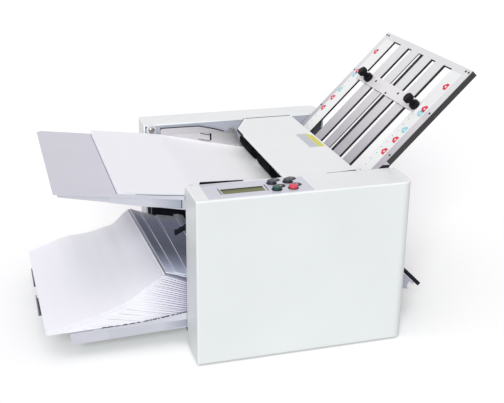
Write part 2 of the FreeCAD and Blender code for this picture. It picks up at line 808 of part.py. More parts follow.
def ramp_height(along):
    """Height of the table's or the ramp's upper face at a distance along."""
    x = float(LEFT) + along
    if x <= float(TABLE_RIGHT):
        share = (x - float(TABLE_LEFT)) / (float(TABLE_RIGHT) - float(TABLE_LEFT))
        return float(TABLE_LEFT_Z) - share * float(d.table_drop)
    share = (x - float(TABLE_RIGHT)) / float(d.ramp_length)
    return float(TABLE_RIGHT_Z) - share * float(d.ramp_drop)


def side_guides():
    """Two upright plates beside the stack, each with a round boss near the feed roller."""
    start = float(LEFT + d.guide_start)
    top = float(LOW + d.guide_up)
    boss_x = float(LEFT + d.guide_boss_along)
    boss_z = float(LOW + d.guide_boss_up)
    last = boss_x + float(d.guide_boss_radius)
    base = [(start, ramp_height(start - float(LEFT))), (last, ramp_height(last - float(LEFT)))]
    points = [base[0], base[1], (last, boss_z), (boss_x - 8.0, boss_z + 2.0), (boss_x - 26.0, top - 7.5),
              (boss_x - 54.0, top - 0.5), (start, top, 3.0)]
    guides = []
    for y in (table_near(), table_far() - d.guide_sheet):
        name = "guide_%d" % len(guides)
        plate = prism(name + "_plate", "y", y, d.guide_sheet, points)
        boss = rod(name + "_boss", "y", LEFT + d.guide_boss_along, y, LOW + d.guide_boss_up,
                   d.guide_boss_radius, d.guide_sheet)
        guides.append(fuse(name, plate, boss))
    node("side_guides", group("guide_pair", *guides))


def feed_paper():
    """A thin stack of sheets on the table, its leading edge under the feed roller."""
    left = -float(d.paper_reach)
    right = left + float(d.paper_length)
    bend = float(d.table_end_along)
    thick = float(d.paper_stack)
    x0 = float(LEFT)
    points = [(x0 + left, ramp_height(left)), (x0 + bend, ramp_height(bend)),
              (x0 + right, ramp_height(right)), (x0 + right, ramp_height(right) + thick),
              (x0 + bend, ramp_height(bend) + thick), (x0 + left, ramp_height(left) + thick)]
    node("feed_paper", prism("paper_stack", "y", MIDDLE - PAPER_WIDTH / 2.0, PAPER_WIDTH, points))


def feed_roller():
    """The feed shaft with three rubber sleeves, and the separator block below it."""
    pulley_start, pulley_end = belt_span()
    node("feed_shaft", turned("feed_shaft", "y", FEED_X, FRAME_FRONT_OUT, FEED_Z, (
        (d.shaft_radius, -2.0, pulley_end + 2.0),
        (d.belt_pulley_radius, pulley_start, pulley_end),
        (d.shaft_radius + 2.0, d.frame_sheet + d.end_gap, FRAME_SPAN + d.frame_sheet - d.end_gap),
    )))
    sleeves = []
    pitch = d.feed_roller_width + d.feed_roller_gap
    for index in (-1, 0, 1):
        name = "sleeve_%d" % (index + 1)
        y = MIDDLE + index * pitch - d.feed_roller_width / 2.0
        outer = rod(name + "_outer", "y", FEED_X, y, FEED_Z, d.feed_roller_radius,
                    d.feed_roller_width)
        inner = rod(name + "_inner", "y", FEED_X, y - 1.0, FEED_Z, d.shaft_radius + 2.0,
                    d.feed_roller_width + 2.0)
        sleeves.append(cut(name, outer, inner))
    node("feed_rollers", group("feed_sleeves", *sleeves))
    node("separator_block", box("separator", RAMP_RIGHT, FRAME_FRONT_IN,
                                RAMP_RIGHT_Z - d.table_sheet, d.separator_length, FRAME_SPAN,
                                d.separator_height))


# ---------------------------------------------------------------- rollers and drive

def involute(angle):
    return math.tan(angle) - angle


def gear_solid(x, z, y, teeth, phase, width, bore):
    """An involute spur gear about +Y with one tooth centred at phase degrees from +X to +Z."""
    module = float(d.gear_module)
    pitch = module * teeth / 2.0
    base = pitch * math.cos(math.radians(20.0))
    tip = pitch + 0.95 * module
    root = pitch - 1.25 * module
    half_at_pitch = math.pi / (2.0 * teeth) - float(d.gear_backlash) / (2.0 * pitch)
    flank = []
    steps = 5
    for index in range(steps + 1):
        radius = max(base, root) + (tip - max(base, root)) * index / steps
        roll = math.acos(min(base / radius, 1.0))
        flank.append((radius, half_at_pitch + involute(math.radians(20.0)) - involute(roll)))
    if root < base:
        flank.insert(0, (root, flank[0][1]))
    points = []
    for tooth in range(int(teeth)):
        middle = math.radians(phase) + 2.0 * math.pi * tooth / teeth
        for radius, half in flank:
            points.append((radius, middle - half))
        for radius, half in reversed(flank):
            points.append((radius, middle + half))
    corners = [Vector(float(x) + radius * math.cos(turn), float(y), float(z) + radius * math.sin(turn))
               for radius, turn in points]
    centre = Vector(float(x), float(y), float(z))
    hole = Part.Wire(Part.makeCircle(float(bore), centre, Vector(0, 1, 0)))
    disc = Part.Face(Part.makePolygon(corners + [corners[0]])).cut(Part.Face(hole))
    return disc.extrude(Vector(0, float(width), 0))


def shape_node(label, shape):
    """A node whose shape is made from the sizes directly."""
    item = DOC.addObject("Part::Feature", label)
    item.Shape = shape
    return node(label, item)


def mesh_phase(teeth, phase, direction, other_teeth):
    """Phase of a gear in mesh with another gear that lies in the given direction from it."""
    return direction + 180.0 + (direction - phase) * teeth / other_teeth - 180.0 / other_teeth


def fold_rollers():
    """Four steel rollers; rollers 1 and 4 carry a belt pulley behind their gear."""
    face_start = d.frame_sheet + d.end_gap
    face_end = FRAME_SPAN + d.frame_sheet - d.end_gap
    gear_end = FRAME_SPAN + 2.0 * d.frame_sheet + d.gear_gap + d.gear_width + 1.0
    start, end = belt_span()
    for number, (x, z) in sorted(ROLLER_CENTRES.items()):
        steps = [(d.roller_pitch - d.nip_gap / 2.0, face_start, face_end)]
        if number in (1, 4):
            steps.append((d.shaft_radius, as_size(-2.0), end + 2.0))
            steps.append((d.belt_pulley_radius, start, end))
        else:
            steps.append((d.shaft_radius, as_size(-2.0), gear_end))
        label = "fold_roller_%d" % number
        node(label, turned(label, "y", x, FRAME_FRONT_OUT, z, steps))


def belt_span():
    """Start and end of the belt pulleys along +Y, from the front frame's outer face."""
    start = FRAME_SPAN + 2.0 * d.frame_sheet + d.gear_gap + d.gear_width + 2.5
    return start, start + d.belt_width


def gears():
    """Four equal gears on the rollers' rear ends, and the motor's pinion in mesh with gear 2."""
    teeth = float(d.gear_teeth)
    y = FRAME_REAR_OUT + d.gear_gap
    phases = {2: 0.0}
    for number, angle in ((1, d.roller_1_angle), (3, d.roller_3_angle), (4, d.roller_4_angle)):
        phases[number] = mesh_phase(teeth, phases[2], float(angle), teeth)
    for number, (x, z) in sorted(ROLLER_CENTRES.items()):
        shape_node("roller_gear_%d" % number,
                   gear_solid(x, z, y, teeth, phases[number], d.gear_width, d.shaft_radius))
    small = float(d.pinion_teeth)
    direction = math.radians(float(d.pinion_direction))
    apart = d.gear_module * (d.gear_teeth + d.pinion_teeth) / 2.0
    x = ROLLER_CENTRES[2][0] + math.cos(direction) * apart
    z = ROLLER_CENTRES[2][1] + math.sin(direction) * apart
    phase = mesh_phase(teeth, 0.0, float(d.pinion_direction), small)
    wheel = gear_solid(x, z, y, small, phase, d.gear_width, 1.0)
    stalk = Part.makeCylinder(float(d.motor_shaft_radius), float(d.gear_width) + 16.0,
                              Vector(float(x), float(y) - 1.0, float(z)), Vector(0, 1, 0))
    shape_node("motor_pinion", wheel.fuse(stalk).removeSplitter())
    drive_motor(x, z)


def drive_motor(x, z):
    """The motor behind the rear frame, on a plate with two stand-off posts."""
    plate_y = FRAME_REAR_OUT + d.gear_gap + d.gear_width + 2.0
    posts = []
    for index, rise in enumerate((-10.0, 14.0)):
        posts.append(rod("motor_post_%d" % index, "y", x - 22.0, FRAME_REAR_OUT, z + rise, 4.0,
                         plate_y - FRAME_REAR_OUT + 1.0))
    plate = box("motor_plate", x - 28.0, plate_y, z - 15.0, 36.0, 2.0, 34.0)
    can = rod("motor_can", "y", x, plate_y + 2.0, z, d.motor_radius, d.motor_length)
    whole = fuse("motor_whole", plate, can, *posts)
    bore = rod("motor_bore", "y", x, plate_y - 1.0, z, d.motor_shaft_radius + d.running_gap, 14.0)
    node("drive_motor", cut("motor", whole, bore))


def shaft_bushes():
    """Plain bushes in both side frames for every shaft."""
    rings = []
    length = d.frame_sheet + 1.0 + d.end_gap - 0.3
    for x, z in shaft_places():
        for start in (FRAME_FRONT_OUT - 1.0, FRAME_REAR_IN - d.end_gap + 0.3):
            name = "bush_%d" % len(rings)
            outer = rod(name + "_outer", "y", x, start, z, d.bush_radius, length)
            inner = rod(name + "_inner", "y", x, start - 1.0, z, d.shaft_radius + d.running_gap,
                        length + 2.0)
            rings.append(cut(name, outer, inner))
    node("shaft_bushes", group("bushes", *rings))


def belt_solid(first, second, y):
    """A flat belt loop round two equal pulleys."""
    inside = float(d.belt_pulley_radius + d.belt_clearance)
    outside = inside + float(d.belt_thickness)
    ax, az = float(first[0]), float(first[1])
    bx, bz = float(second[0]), float(second[1])
    way = Vector(bx - ax, 0, bz - az).normalize()
    side = Vector(-way.z, 0, way.x)
    loops = []
    for radius in (outside, inside):
        a = Vector(ax, float(y), az)
        b = Vector(bx, float(y), bz)
        edges = [
            Part.LineSegment(a + side * radius, b + side * radius).toShape(),
            Part.Arc(b + side * radius, b + way * radius, b - side * radius).toShape(),
            Part.LineSegment(b - side * radius, a - side * radius).toShape(),
            Part.Arc(a - side * radius, a - way * radius, a + side * radius).toShape(),
        ]
        loops.append(Part.Face(Part.Wire(edges)).extrude(Vector(0, float(d.belt_width), 0)))
    return loops[0].cut(loops[1])


def drive_belts():
    """One belt from roller 1 to the feed shaft, one from roller 4 to the exit roller."""
    start, _ = belt_span()
    y = FRAME_FRONT_OUT + start
    feed = belt_solid(ROLLER_CENTRES[1], (FEED_X, FEED_Z), y)
    delivery = belt_solid(ROLLER_CENTRES[4], (EXIT_X, EXIT_Z - d.exit_roller_radius), y)
    shape_node("drive_belts", Part.makeCompound([feed, delivery]))


# ---------------------------------------------------------------- fold plates

def plate_slots(label, bottom, height, middle_width):
    """The five slot cutters of the upper plate in its own frame."""
    tools = []
    start = d.plate_start + d.slot_bottom_band
    length = d.plate_top_reach - d.slot_top_band - start
    rows = (
        (-d.outer_slot_middle, d.outer_slot_width),
        (-d.inner_slot_middle, d.inner_slot_width),
        (as_size(0.0), middle_width),
        (d.inner_slot_middle, d.inner_slot_width),
        (d.outer_slot_middle, d.outer_slot_width),
    )
    for index, (middle, width) in enumerate(rows):
        tools.append(box("%s_slot_%d" % (label, index), start, middle + d.slot_shift - width / 2.0,
                         bottom - 1.0, length, width, height + 2.0))
    return tools


def upper_plate_frame(item):
    """Move a piece from the upper plate's own frame to its place on the machine."""
    x, z = ROLLER_CENTRES[2]
    return tilt(item, x, MIDDLE, z, -d.plate_tilt)


def lower_plate_frame(item):
    """The same for the lower plate, which points down instead of up."""
    x, z = ROLLER_CENTRES[2]
    return tilt(item, x, MIDDLE, z, d.plate_tilt)


def plate_face_height():
    return d.roller_pitch + d.plate_depth / 2.0


def upper_plate():
    face = plate_face_height()
    length = d.plate_top_reach - d.plate_start
    half = PLATE_WIDTH / 2.0
    near = -half
    top_sheet = box("face_sheet", d.plate_start, near, face - d.plate_sheet, length, PLATE_WIDTH,
                    d.plate_sheet)
    node("upper_plate_face", upper_plate_frame(
        cut("upper_face", top_sheet, *plate_slots("face", face - d.plate_sheet, d.plate_sheet,
                                                  d.middle_slot_width))))
    lower = face - 2.0 * d.plate_sheet - d.plate_gap
    inside = PLATE_WIDTH - 2.0 * d.rail_width
    back_sheet = box("back_sheet", d.plate_start, near + d.rail_width, lower,
                     length - d.plate_end_rail, inside, d.plate_sheet)
    node("upper_plate_back", upper_plate_frame(
        cut("upper_back", back_sheet, *plate_slots("back", lower, d.plate_sheet,
                                                   d.rod_slot_width))))
    rail_low = face - d.plate_depth
    rail_height = d.plate_depth - d.plate_sheet
    rails = [
        box("rail_front", d.plate_start, near, rail_low, length, d.rail_width, rail_height),
        box("rail_rear", d.plate_start, half - d.rail_width, rail_low, length, d.rail_width,
            rail_height),
        box("rail_end", d.plate_top_reach - d.plate_end_rail, near + d.rail_width, rail_low,
            d.plate_end_rail, inside, rail_height),
    ]
    node("upper_plate_rails", upper_plate_frame(fuse("upper_rails", *rails)))
    rod_start = d.plate_start + 2.0
    rod_length = d.plate_top_reach - d.plate_end_rail - rod_start
    node("plate_rod", upper_plate_frame(group("plate_rod_place", rod(
        "plate_rod", "x", rod_start, d.slot_shift + d.plate_rod_shift,
        lower - d.plate_rod_radius, d.plate_rod_radius, rod_length))))
    plate_screws(face, half)


def plate_screws(face, half):
    """Small pan heads along both edges of the upper plate and on its stop bar."""
    top = d.plate_top_reach
    side = half - 4.0
    spots = []
    for down in (5.0, 82.5, 162.0):
        spots.append((top - down, -side))
        spots.append((top - down, side))
    spots.append((top - 5.0, -side + 8.0))
    spots.append((top - 5.0, side - 8.0))
    heads = []
    for x, y in spots:
        heads.append(rod("plate_head_%d" % len(heads), "z", x, y, face, 1.6, 0.8))
    node("plate_screws", upper_plate_frame(group("plate_heads", *heads)))


def plate_studs():
    """Studs in the side frames that carry the upper and the lower fold plate."""
    pins = []
    half = PLATE_WIDTH / 2.0
    rail_low = plate_face_height() - d.plate_depth
    reach = (FRAME_SPAN - PLATE_WIDTH) / 2.0
    for along in (60.0, 90.0):
        for y in (-half - reach, half):
            pins.append(upper_plate_frame(group("upper_pin_place_%d" % len(pins), rod(
                "upper_pin_%d" % len(pins), "y", as_size(along), y, rail_low + 4.0, 3.0, reach))))
    lower_mid = d.roller_pitch
    for along in (48.0, 74.0):
        for y in (-half - reach, half):
            pins.append(lower_plate_frame(group("lower_pin_place_%d" % len(pins), rod(
                "lower_pin_%d" % len(pins), "y", as_size(along), y, lower_mid, 2.5, reach))))
    return pins


def stop_bar():
    """The stop across the upper plate: a bar with two knob studs and two fingers in the slots."""
    face = plate_face_height()
    middle = d.plate_top_reach - d.stop_from_top
    low = face + d.stop_clearance
    parts = [box("stop_strip", middle - d.stop_bar_width / 2.0, d.slot_shift - d.stop_bar_length / 2.0,
                 low, d.stop_bar_width, d.stop_bar_length, d.stop_bar_thickness)]
    stop_low = face - d.plate_sheet - d.plate_gap + 0.3
    for y in (-d.knob_front_shift, d.knob_rear_shift):
        parts.append(rod("stop_stud_%d" % len(parts), "z", middle, y, low, d.knob_stud_radius,
                         d.stop_bar_thickness + 11.0))
    for side in (-1.0, 1.0):
        parts.append(box("stop_finger_%d" % len(parts), middle - 3.0,
                         side * d.outer_slot_middle + d.slot_shift - 5.0, stop_low,
                         6.0, 10.0, low - stop_low + 0.5))
    node("stop_bar", upper_plate_frame(fuse("stop", *parts)))
    seat = low + d.stop_bar_thickness + d.stop_clearance
    for label, y in (("stop_knob_front", -d.knob_front_shift), ("stop_knob_rear", d.knob_rear_shift)):
        third = d.knob_height / 3.0
        whole = turned(label + "_turned", "z", middle, y, seat, (
            (d.knob_radius, 0.0, third),
            (d.knob_neck_radius, third, 2.0 * third),
            (d.knob_radius, 2.0 * third - 1.0, d.knob_height),
        ))
        bore = rod(label + "_bore", "z", middle, y, seat - 1.0, d.knob_stud_radius + d.running_gap,
                   as_size(13.0))
        node(label, upper_plate_frame(cut(label + "_cut", whole, bore)))


def lower_plate():
    """Two flat sheets in a black frame whose solid end sticks out at the right."""
    half = PLATE_WIDTH / 2.0
    middle = d.roller_pitch
    sheet = d.lower_sheet
    low = middle - d.lower_depth / 2.0
    high = middle + d.lower_depth / 2.0 - sheet
    inside = PLATE_WIDTH - 2.0 * d.lower_rail_width
    length = d.lower_reach - d.lower_end_length - d.lower_start
    sheets = [
        box("lower_sheet_under", d.lower_start, -inside / 2.0, low, length, inside, sheet),
        box("lower_sheet_over", d.lower_start, -inside / 2.0, high, length, inside, sheet),
    ]
    node("lower_plate_sheets", lower_plate_frame(group("lower_sheets", *sheets)))
    full = d.lower_reach - d.lower_start
    parts = [
        box("lower_rail_front", d.lower_start, -half, low, full, d.lower_rail_width, d.lower_depth),
        box("lower_rail_rear", d.lower_start, half - d.lower_rail_width, low, full,
            d.lower_rail_width, d.lower_depth),
        box("lower_end", d.lower_reach - d.lower_end_length, -half, low, d.lower_end_length,
            PLATE_WIDTH, d.lower_depth),
    ]
    node("lower_plate_frame", lower_plate_frame(fuse("lower_frame", *parts)))
    node("lower_stop", lower_plate_frame(group("lower_stop_place", box(
        "lower_stop_bar", d.lower_stop_along, -inside / 2.0 + 0.4, low + sheet + 0.3,
        as_size(6.0), inside - 0.8, d.lower_depth - 2.0 * sheet - 0.6))))


# ---------------------------------------------------------------- paper path inside

def bent_sheet(label, points, thickness):
    """A folded guide sheet across the machine, from a line of (along, up) points."""
    upper = [(float(LEFT) + along, float(LOW) + up) for along, up in points]
    lower = [(x, z - thickness) for x, z in reversed(upper)]
    return prism(label, "y", FRAME_FRONT_IN, FRAME_SPAN, upper + lower)


def paper_guides():
    sheet = 1.5
    node("paper_guides", group(
        "guide_sheets",
        bent_sheet("feed_guide_low", ((184.5, 177.0), (196.0, 163.0), (204.0, 156.5)), sheet),
        bent_sheet("exit_guide_low", ((226.0, 124.0), (200.0, 100.0), (165.0, 90.0), (118.5, 88.0)),
                   sheet),
        bent_sheet("exit_guide_high", ((206.0, 128.0), (190.0, 113.0), (165.0, 102.0), (126.0, 100.0)),
                   sheet),
    ))


def side_liner(label, y):
    """A thin panel against a side frame, with a hole where the tie rod passes."""
    begin, end, low, high = d.liner_start, d.liner_end, d.liner_low, d.liner_high
    corners = ((begin, low), (end, low), (end, high), (begin, high))
    points = [(LEFT + along, LOW + up) for along, up in corners]
    return prism(label, "y", y, d.liner_sheet, points, [(ARM_X, ARM_Z, d.tie_radius)])


def liners():
    """Dark inner panels: one on each side of the delivery mouth, one across behind it."""
    node("inner_liners", group(
        "liner_set",
        side_liner("liner_front", FRAME_FRONT_IN),
        side_liner("liner_rear", FRAME_REAR_IN - d.liner_sheet),
        box("liner_back", LEFT + 124.0, FRAME_FRONT_IN, LOW + 112.0, 1.5, FRAME_SPAN, 64.0),
        box("feed_bridge", FEED_X + d.feed_roller_radius + 3.0, FRAME_FRONT_IN, FEED_Z - 4.0,
            2.0, FRAME_SPAN, 22.0),
    ))


def exit_rollers():
    """The driven exit roller with its belt pulley, and the idler above it."""
    start, end = belt_span()
    face_start = d.frame_sheet + d.end_gap
    face_end = FRAME_SPAN + d.frame_sheet - d.end_gap
    node("exit_roller", turned("exit_roller", "y", EXIT_X, FRAME_FRONT_OUT,
                               EXIT_Z - d.exit_roller_radius, (
        (d.exit_roller_radius, face_start, face_end),
        (d.shaft_radius, -2.0, end + 2.0),
        (d.belt_pulley_radius, start, end),
    )))
    wheels = [(d.shaft_radius, as_size(-2.0), FRAME_SPAN + 2.0 * d.frame_sheet + 2.0)]
    wheels_start = FRAME_SPAN / 2.0 + d.frame_sheet - 1.5 * d.idler_pitch - d.idler_width / 2.0
    for index in range(4):
        begin = wheels_start + index * d.idler_pitch
        wheels.append((d.exit_idler_radius, begin, begin + d.idler_width))
    node("exit_idler", turned("exit_idler", "y", EXIT_X, FRAME_FRONT_OUT,
                              EXIT_Z + d.exit_idler_radius + d.nip_gap, wheels))


def stacker_arm():
    """A toothed arm that turns on a tie rod and hangs over the folded sheets."""
    pivot_x = float(ARM_X)
    pivot_z = float(ARM_Z)
    reach = float(d.arm_reach)
    drop = float(d.arm_drop)
    high = float(d.arm_height)
    teeth = 8
    top = []
    for index in range(teeth):
        share = (index + 0.5) / teeth
        x = pivot_x - reach * share
        z = pivot_z - drop * share + high / 2.0
        step = reach / teeth
        fall = drop / teeth
        top.append((x, z))
        top.append((x - 0.45 * step, z - 0.45 * fall + 1.6))
        top.append((x - 0.5 * step, z - 0.5 * fall))
    tip = (pivot_x - reach, pivot_z - drop - high / 2.0)
    points = [(pivot_x, pivot_z + high / 2.0)] + top + [tip, (pivot_x, pivot_z - high / 2.0)]
    y = FRONT + d.arm_in
    blade = prism("arm_blade", "y", y, d.arm_width, points)
    hub = rod("arm_hub", "y", ARM_X, y - 2.0, ARM_Z, d.tie_radius + 4.0, d.arm_width + 4.0)
    bore = rod("arm_bore", "y", ARM_X, y - 3.0, ARM_Z, d.tie_radius + d.running_gap,
               d.arm_width + 6.0)
    node("stacker_arm", cut("arm", fuse("arm_whole", blade, hub), bore))


# ---------------------------------------------------------------- delivery tray

def tray_height(along):
    """Height of the tray's upper face at a distance along."""
    x = float(LEFT) + along
    share = (x - float(TRAY_LEFT)) / (float(TRAY_RIGHT) - float(TRAY_LEFT))
    return float(TRAY_LEFT_Z) + share * float(d.tray_rise)


def exit_tray():
    """A folded sheet with deep side flanges, hung on studs inside the side frames."""
    left = float(TRAY_LEFT)
    right = float(TRAY_RIGHT)
    left_z = float(TRAY_LEFT_Z)
    right_z = float(TRAY_RIGHT_Z)
    deep = float(d.tray_flange)
    sheet = float(d.table_sheet)
    outline = [(left, left_z), (right, right_z), (right, right_z - deep), (left + 2.0, left_z - deep)]
    below = [(left - 5.0, left_z - sheet), (right + 5.0, right_z - sheet), (right + 5.0, left_z - 60.0),
             (left - 5.0, left_z - 60.0)]
    block = prism("tray_block", "y", table_near(), d.table_width, outline)
    hollow = prism("tray_hollow", "y", table_near() + d.table_sheet,
                   d.table_width - 2.0 * d.table_sheet, below)
    node("exit_tray", cut("tray", block, hollow))


def tray_studs():
    """Studs inside the side frames that carry the tray by its flanges."""
    studs = []
    reach = table_near() - FRAME_FRONT_IN
    for along in (24.0, 82.0):
        z = tray_height(along) - float(d.tray_flange) / 2.0
        for y in (FRAME_FRONT_IN, table_far()):
            studs.append(rod("tray_stud_%d" % len(studs), "y", LEFT + along, y, as_size(z), 3.0,
                             reach))
    return studs


def support_studs():
    node("support_studs", group("studs", *(plate_studs() + tray_studs())))


def extension_strip(label, begin, end, y, width):
    """A sloping strip of the extension plate between two distances along."""
    drop = float(d.table_sheet) + 0.3
    sheet = float(d.table_sheet)
    points = [(begin, tray_height(begin) - drop), (begin, tray_height(begin) - drop - sheet),
              (end, tray_height(end) - drop - sheet), (end, tray_height(end) - drop)]
    return prism(label, "y", y, width, [(float(LEFT) + along, z) for along, z in points])


def tray_extension():
    """A narrower plate under the tray with two upturned end tabs; it slides along the tray."""
    inside = -float(d.extension_inside)
    outer = -float(d.extension_reach)
    edge = outer + float(d.extension_arm)
    centre = MIDDLE + d.extension_shift
    parts = [extension_strip("extension_plate", inside, edge, centre - d.extension_width / 2.0,
                             d.extension_width)]
    half_apart = d.extension_tab_apart / 2.0
    low = tray_height(outer) - 2.0 * float(d.table_sheet) - 0.3
    rise = d.table_sheet + 0.3 + d.extension_tab_rise
    for middle in (centre - half_apart, centre + half_apart):
        y = middle - d.extension_tab_width / 2.0
        name = "extension_tab_%d" % len(parts)
        arm = extension_strip(name + "_arm", edge + 1.0, outer, y, d.extension_tab_width)
        upright = box(name, LEFT - d.extension_reach, y, as_size(low), d.table_sheet,
                      d.extension_tab_width, d.table_sheet + rise)
        parts.append(fuse(name + "_whole", arm, upright))
    node("tray_extension", fuse("extension", *parts))


def section(label, y, points):
    """A closed outline of straight lines in the upright plane at y."""
    sketch = DOC.addObject("Sketcher::SketchObject", label)
    sketch.Placement = Placement(Vector(), Rotation(Vector(1, 0, 0), 90))
    for edge in outline_edges(points):
        sketch.addGeometry(edge, False)
    bind(sketch, "Placement.Base.y", y)
    return sketch


def folded_sheets():
    """The pile of folded sheets on the tray; its crest stands higher at the front."""
    behind = (  # along and up, from the left end over the crest to the last sheets inside
        (-196.0, 39.5), (-150.0, 55.5), (-107.0, 61.5), (-56.0, 74.5), (-43.5, 90.0), (-33.0, 97.0),
        (-16.0, 89.0), (11.0, 81.0), (39.0, 77.5), (56.0, 70.0),
    )
    before = (
        (-192.0, 39.5), (-150.0, 50.0), (-104.0, 63.0), (-70.0, 80.0), (-50.0, 95.0), (-31.0, 108.0),
        (-14.0, 107.0), (5.0, 106.0), (34.0, 92.0), (56.0, 74.0),
    )
    overhang = -float(d.tray_reach)
    ends = []
    for label, y, profile in (("pile_front", MIDDLE - PAPER_WIDTH / 2.0, before),
                              ("pile_rear", MIDDLE + PAPER_WIDTH / 2.0, behind)):
        points = [(float(LEFT) + along, float(LOW) + up) for along, up in profile]
        points.append((float(LEFT) + profile[-1][0], tray_height(profile[-1][0])))
        points.append((float(LEFT) + overhang, tray_height(overhang)))
        points.append((float(LEFT) + profile[0][0], tray_height(profile[0][0])))
        ends.append(section(label, y, points))
    pile = DOC.addObject("Part::Loft", "pile")
    pile.Sections = ends
    pile.Solid = True
    pile.Ruled = True
    node("folded_sheets", pile)


# ---------------------------------------------------------------- power

def power_parts():
    """A moulding in the rear cover with the mains socket and a well for the rocker switch."""
    z = LOW + d.inlet_up
    x = LEFT + d.inlet_along
    body = box("inlet_body", x, BACK - 16.0, z, d.inlet_length, as_size(16.0), d.inlet_height)
    socket = box("inlet_socket", x + 2.0, BACK - 13.0, z + 2.0, d.socket_length, as_size(14.0),
                 d.inlet_height - 4.0)
    well = box("switch_well", LEFT + d.switch_along, BACK - 14.0, z + 1.0, d.switch_length,
               as_size(15.0), d.inlet_height - 2.0)
    hollow = cut("inlet_hollow", body, socket, well)
    middle_x = x + 2.0 + d.socket_length / 2.0
    middle_z = z + d.inlet_height / 2.0
    pins = []
    for across, up in ((-7.0, -2.0), (0.0, 2.0), (7.0, -2.0)):
        pins.append(box("inlet_pin_%d" % len(pins), middle_x + across - 1.0, BACK - 14.0,
                        middle_z + up - 2.0, 2.0, 9.0, 4.0))
    node("power_inlet", fuse("inlet", hollow, *pins))
    switch_rocker(z)
    node("power_supply", box("supply", LEFT + 28.0, FRAME_REAR_OUT, LOW + 8.0,
                             d.supply_length, BACK - 17.0 - FRAME_REAR_OUT, d.supply_height))


def switch_rocker(z):
    """A rocker that tips about a crosswise pin inside its opening."""
    gap = 0.35
    x = LEFT + d.switch_along + gap
    middle_z = float(z + d.inlet_height / 2.0)
    pivot_y = float(BACK) - 4.0
    radius = float(d.switch_radius)
    lean = math.radians(float(d.switch_tilt))
    low = float(BACK) - 12.0
    face = float(BACK) - 1.2
    rise = radius * math.sin(lean)
    points = [(low, middle_z - 4.0), (face - rise * 1.6, middle_z - radius + 0.9),
              (face, middle_z), (face + 0.4, middle_z + radius - 0.9), (low, middle_z + 4.0)]
    rocker = prism("rocker", "x", x, d.switch_length - 2.0 * gap, points)
    round_bar = rod("rocker_round", "x", x, as_size(pivot_y), as_size(middle_z), radius,
                    d.switch_length - 2.0 * gap)
    common = DOC.addObject("Part::Common", "rocker_common")
    common.Base = rocker
    common.Tool = round_bar
    node("power_switch", common)


# ---------------------------------------------------------------- build, check, write

def build():
    front_cover()
    rear_cover()
    base_plate()
    side_frame("front_side_frame", FRAME_FRONT_OUT)
    side_frame("rear_side_frame", FRAME_REAR_IN)
    ties_and_screws()
    control_panel()
    control_board()
    for name, x, y in button_places():
        push_button(name, x, y)
    top_lid()
    feed_table()
    table_screws()
    feed_ramp()
    side_guides()
    feed_paper()
    feed_roller()
    fold_rollers()
    gears()
    shaft_bushes()
    drive_belts()
    upper_plate()
    stop_bar()
    lower_plate()
    paper_guides()
    liners()
    exit_rollers()
    stacker_arm()
    exit_tray()
    support_studs()
    tray_extension()
    folded_sheets()
    power_parts()


def check():
    """Stop if any object failed or any node is empty or not valid."""
    DOC.recompute()
    for item in DOC.Objects:
        if "Invalid" in item.State or "Error" in item.State:
            raise RuntimeError("%s did not compute: %s" % (item.Label, item.State))
    for label, item in NODES.items():
        if item.Shape.isNull() or not item.Shape.isValid() or not item.Shape.Solids:
            raise RuntimeError("%s has no valid solid" % label)


def write():
    os.makedirs("parts", exist_ok=True)
    for label, item in NODES.items():
        item.Shape.exportStep("parts/%s.step" % label)
    whole = Part.makeCompound([item.Shape for item in NODES.values()])
    reach = whole.BoundBox
    print("nodes", len(NODES))
    print("x %.2f to %.2f" % (reach.XMin, reach.XMax))
    print("y %.2f to %.2f" % (reach.YMin, reach.YMax))
    print("z %.2f to %.2f" % (reach.ZMin, reach.ZMax))


build()
check()
write()
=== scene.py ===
import math

import bmesh
import bpy
import numpy as np
from mathutils import Matrix, Vector


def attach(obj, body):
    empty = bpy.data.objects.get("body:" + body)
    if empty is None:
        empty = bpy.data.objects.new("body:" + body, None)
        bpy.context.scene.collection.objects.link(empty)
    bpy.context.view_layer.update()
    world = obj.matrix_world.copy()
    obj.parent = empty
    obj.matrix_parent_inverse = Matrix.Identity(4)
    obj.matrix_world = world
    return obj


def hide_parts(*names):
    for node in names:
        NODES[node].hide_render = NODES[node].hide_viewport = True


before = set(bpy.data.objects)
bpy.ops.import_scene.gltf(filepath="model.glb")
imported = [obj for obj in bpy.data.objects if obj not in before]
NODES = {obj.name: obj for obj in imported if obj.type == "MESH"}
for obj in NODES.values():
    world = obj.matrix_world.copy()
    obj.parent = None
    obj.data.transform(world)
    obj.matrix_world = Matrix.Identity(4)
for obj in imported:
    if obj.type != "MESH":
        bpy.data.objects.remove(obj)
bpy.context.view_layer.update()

bl_info = {
    "name": "Paper folding machine",
    "version": (1, 0, 0),
    "blender": (4, 5, 0),
    "location": "3D View > Sidebar > Folding machine",
    "description": "Dresses a desk paper folding machine with finishes, paper and small parts",
    "category": "Object",
}

MM = 0.001
SIDEWAYS, INWARDS, UPWARDS = np.eye(3)

# The machine's own corner: the front cover's left front bottom corner, in metres.
CORNER = np.array([-107.3, -199.1, 3.0]) * MM


def at(along, inward, up):
    """A point given in millimetres from the front cover's left front bottom corner, in metres."""
    shape = np.broadcast(along, inward, up).shape
    point = np.empty(shape + (3,))
    point[..., 0] = along
    point[..., 1] = inward
    point[..., 2] = up
    return point * MM + CORNER


# The upper fold plate's own frame: down from its top edge, across it from the operator's side,
# and out of its face.
PLATE_FOOT = at(223.8, 204.45, 153.0)
PLATE_UP = np.array([math.sqrt(0.5), 0.0, math.sqrt(0.5)])
PLATE_OUT = np.array([-math.sqrt(0.5), 0.0, math.sqrt(0.5)])
PLATE_TOP = 280.2
PLATE_FACE = 19.9
PLATE_HALF = 141.0


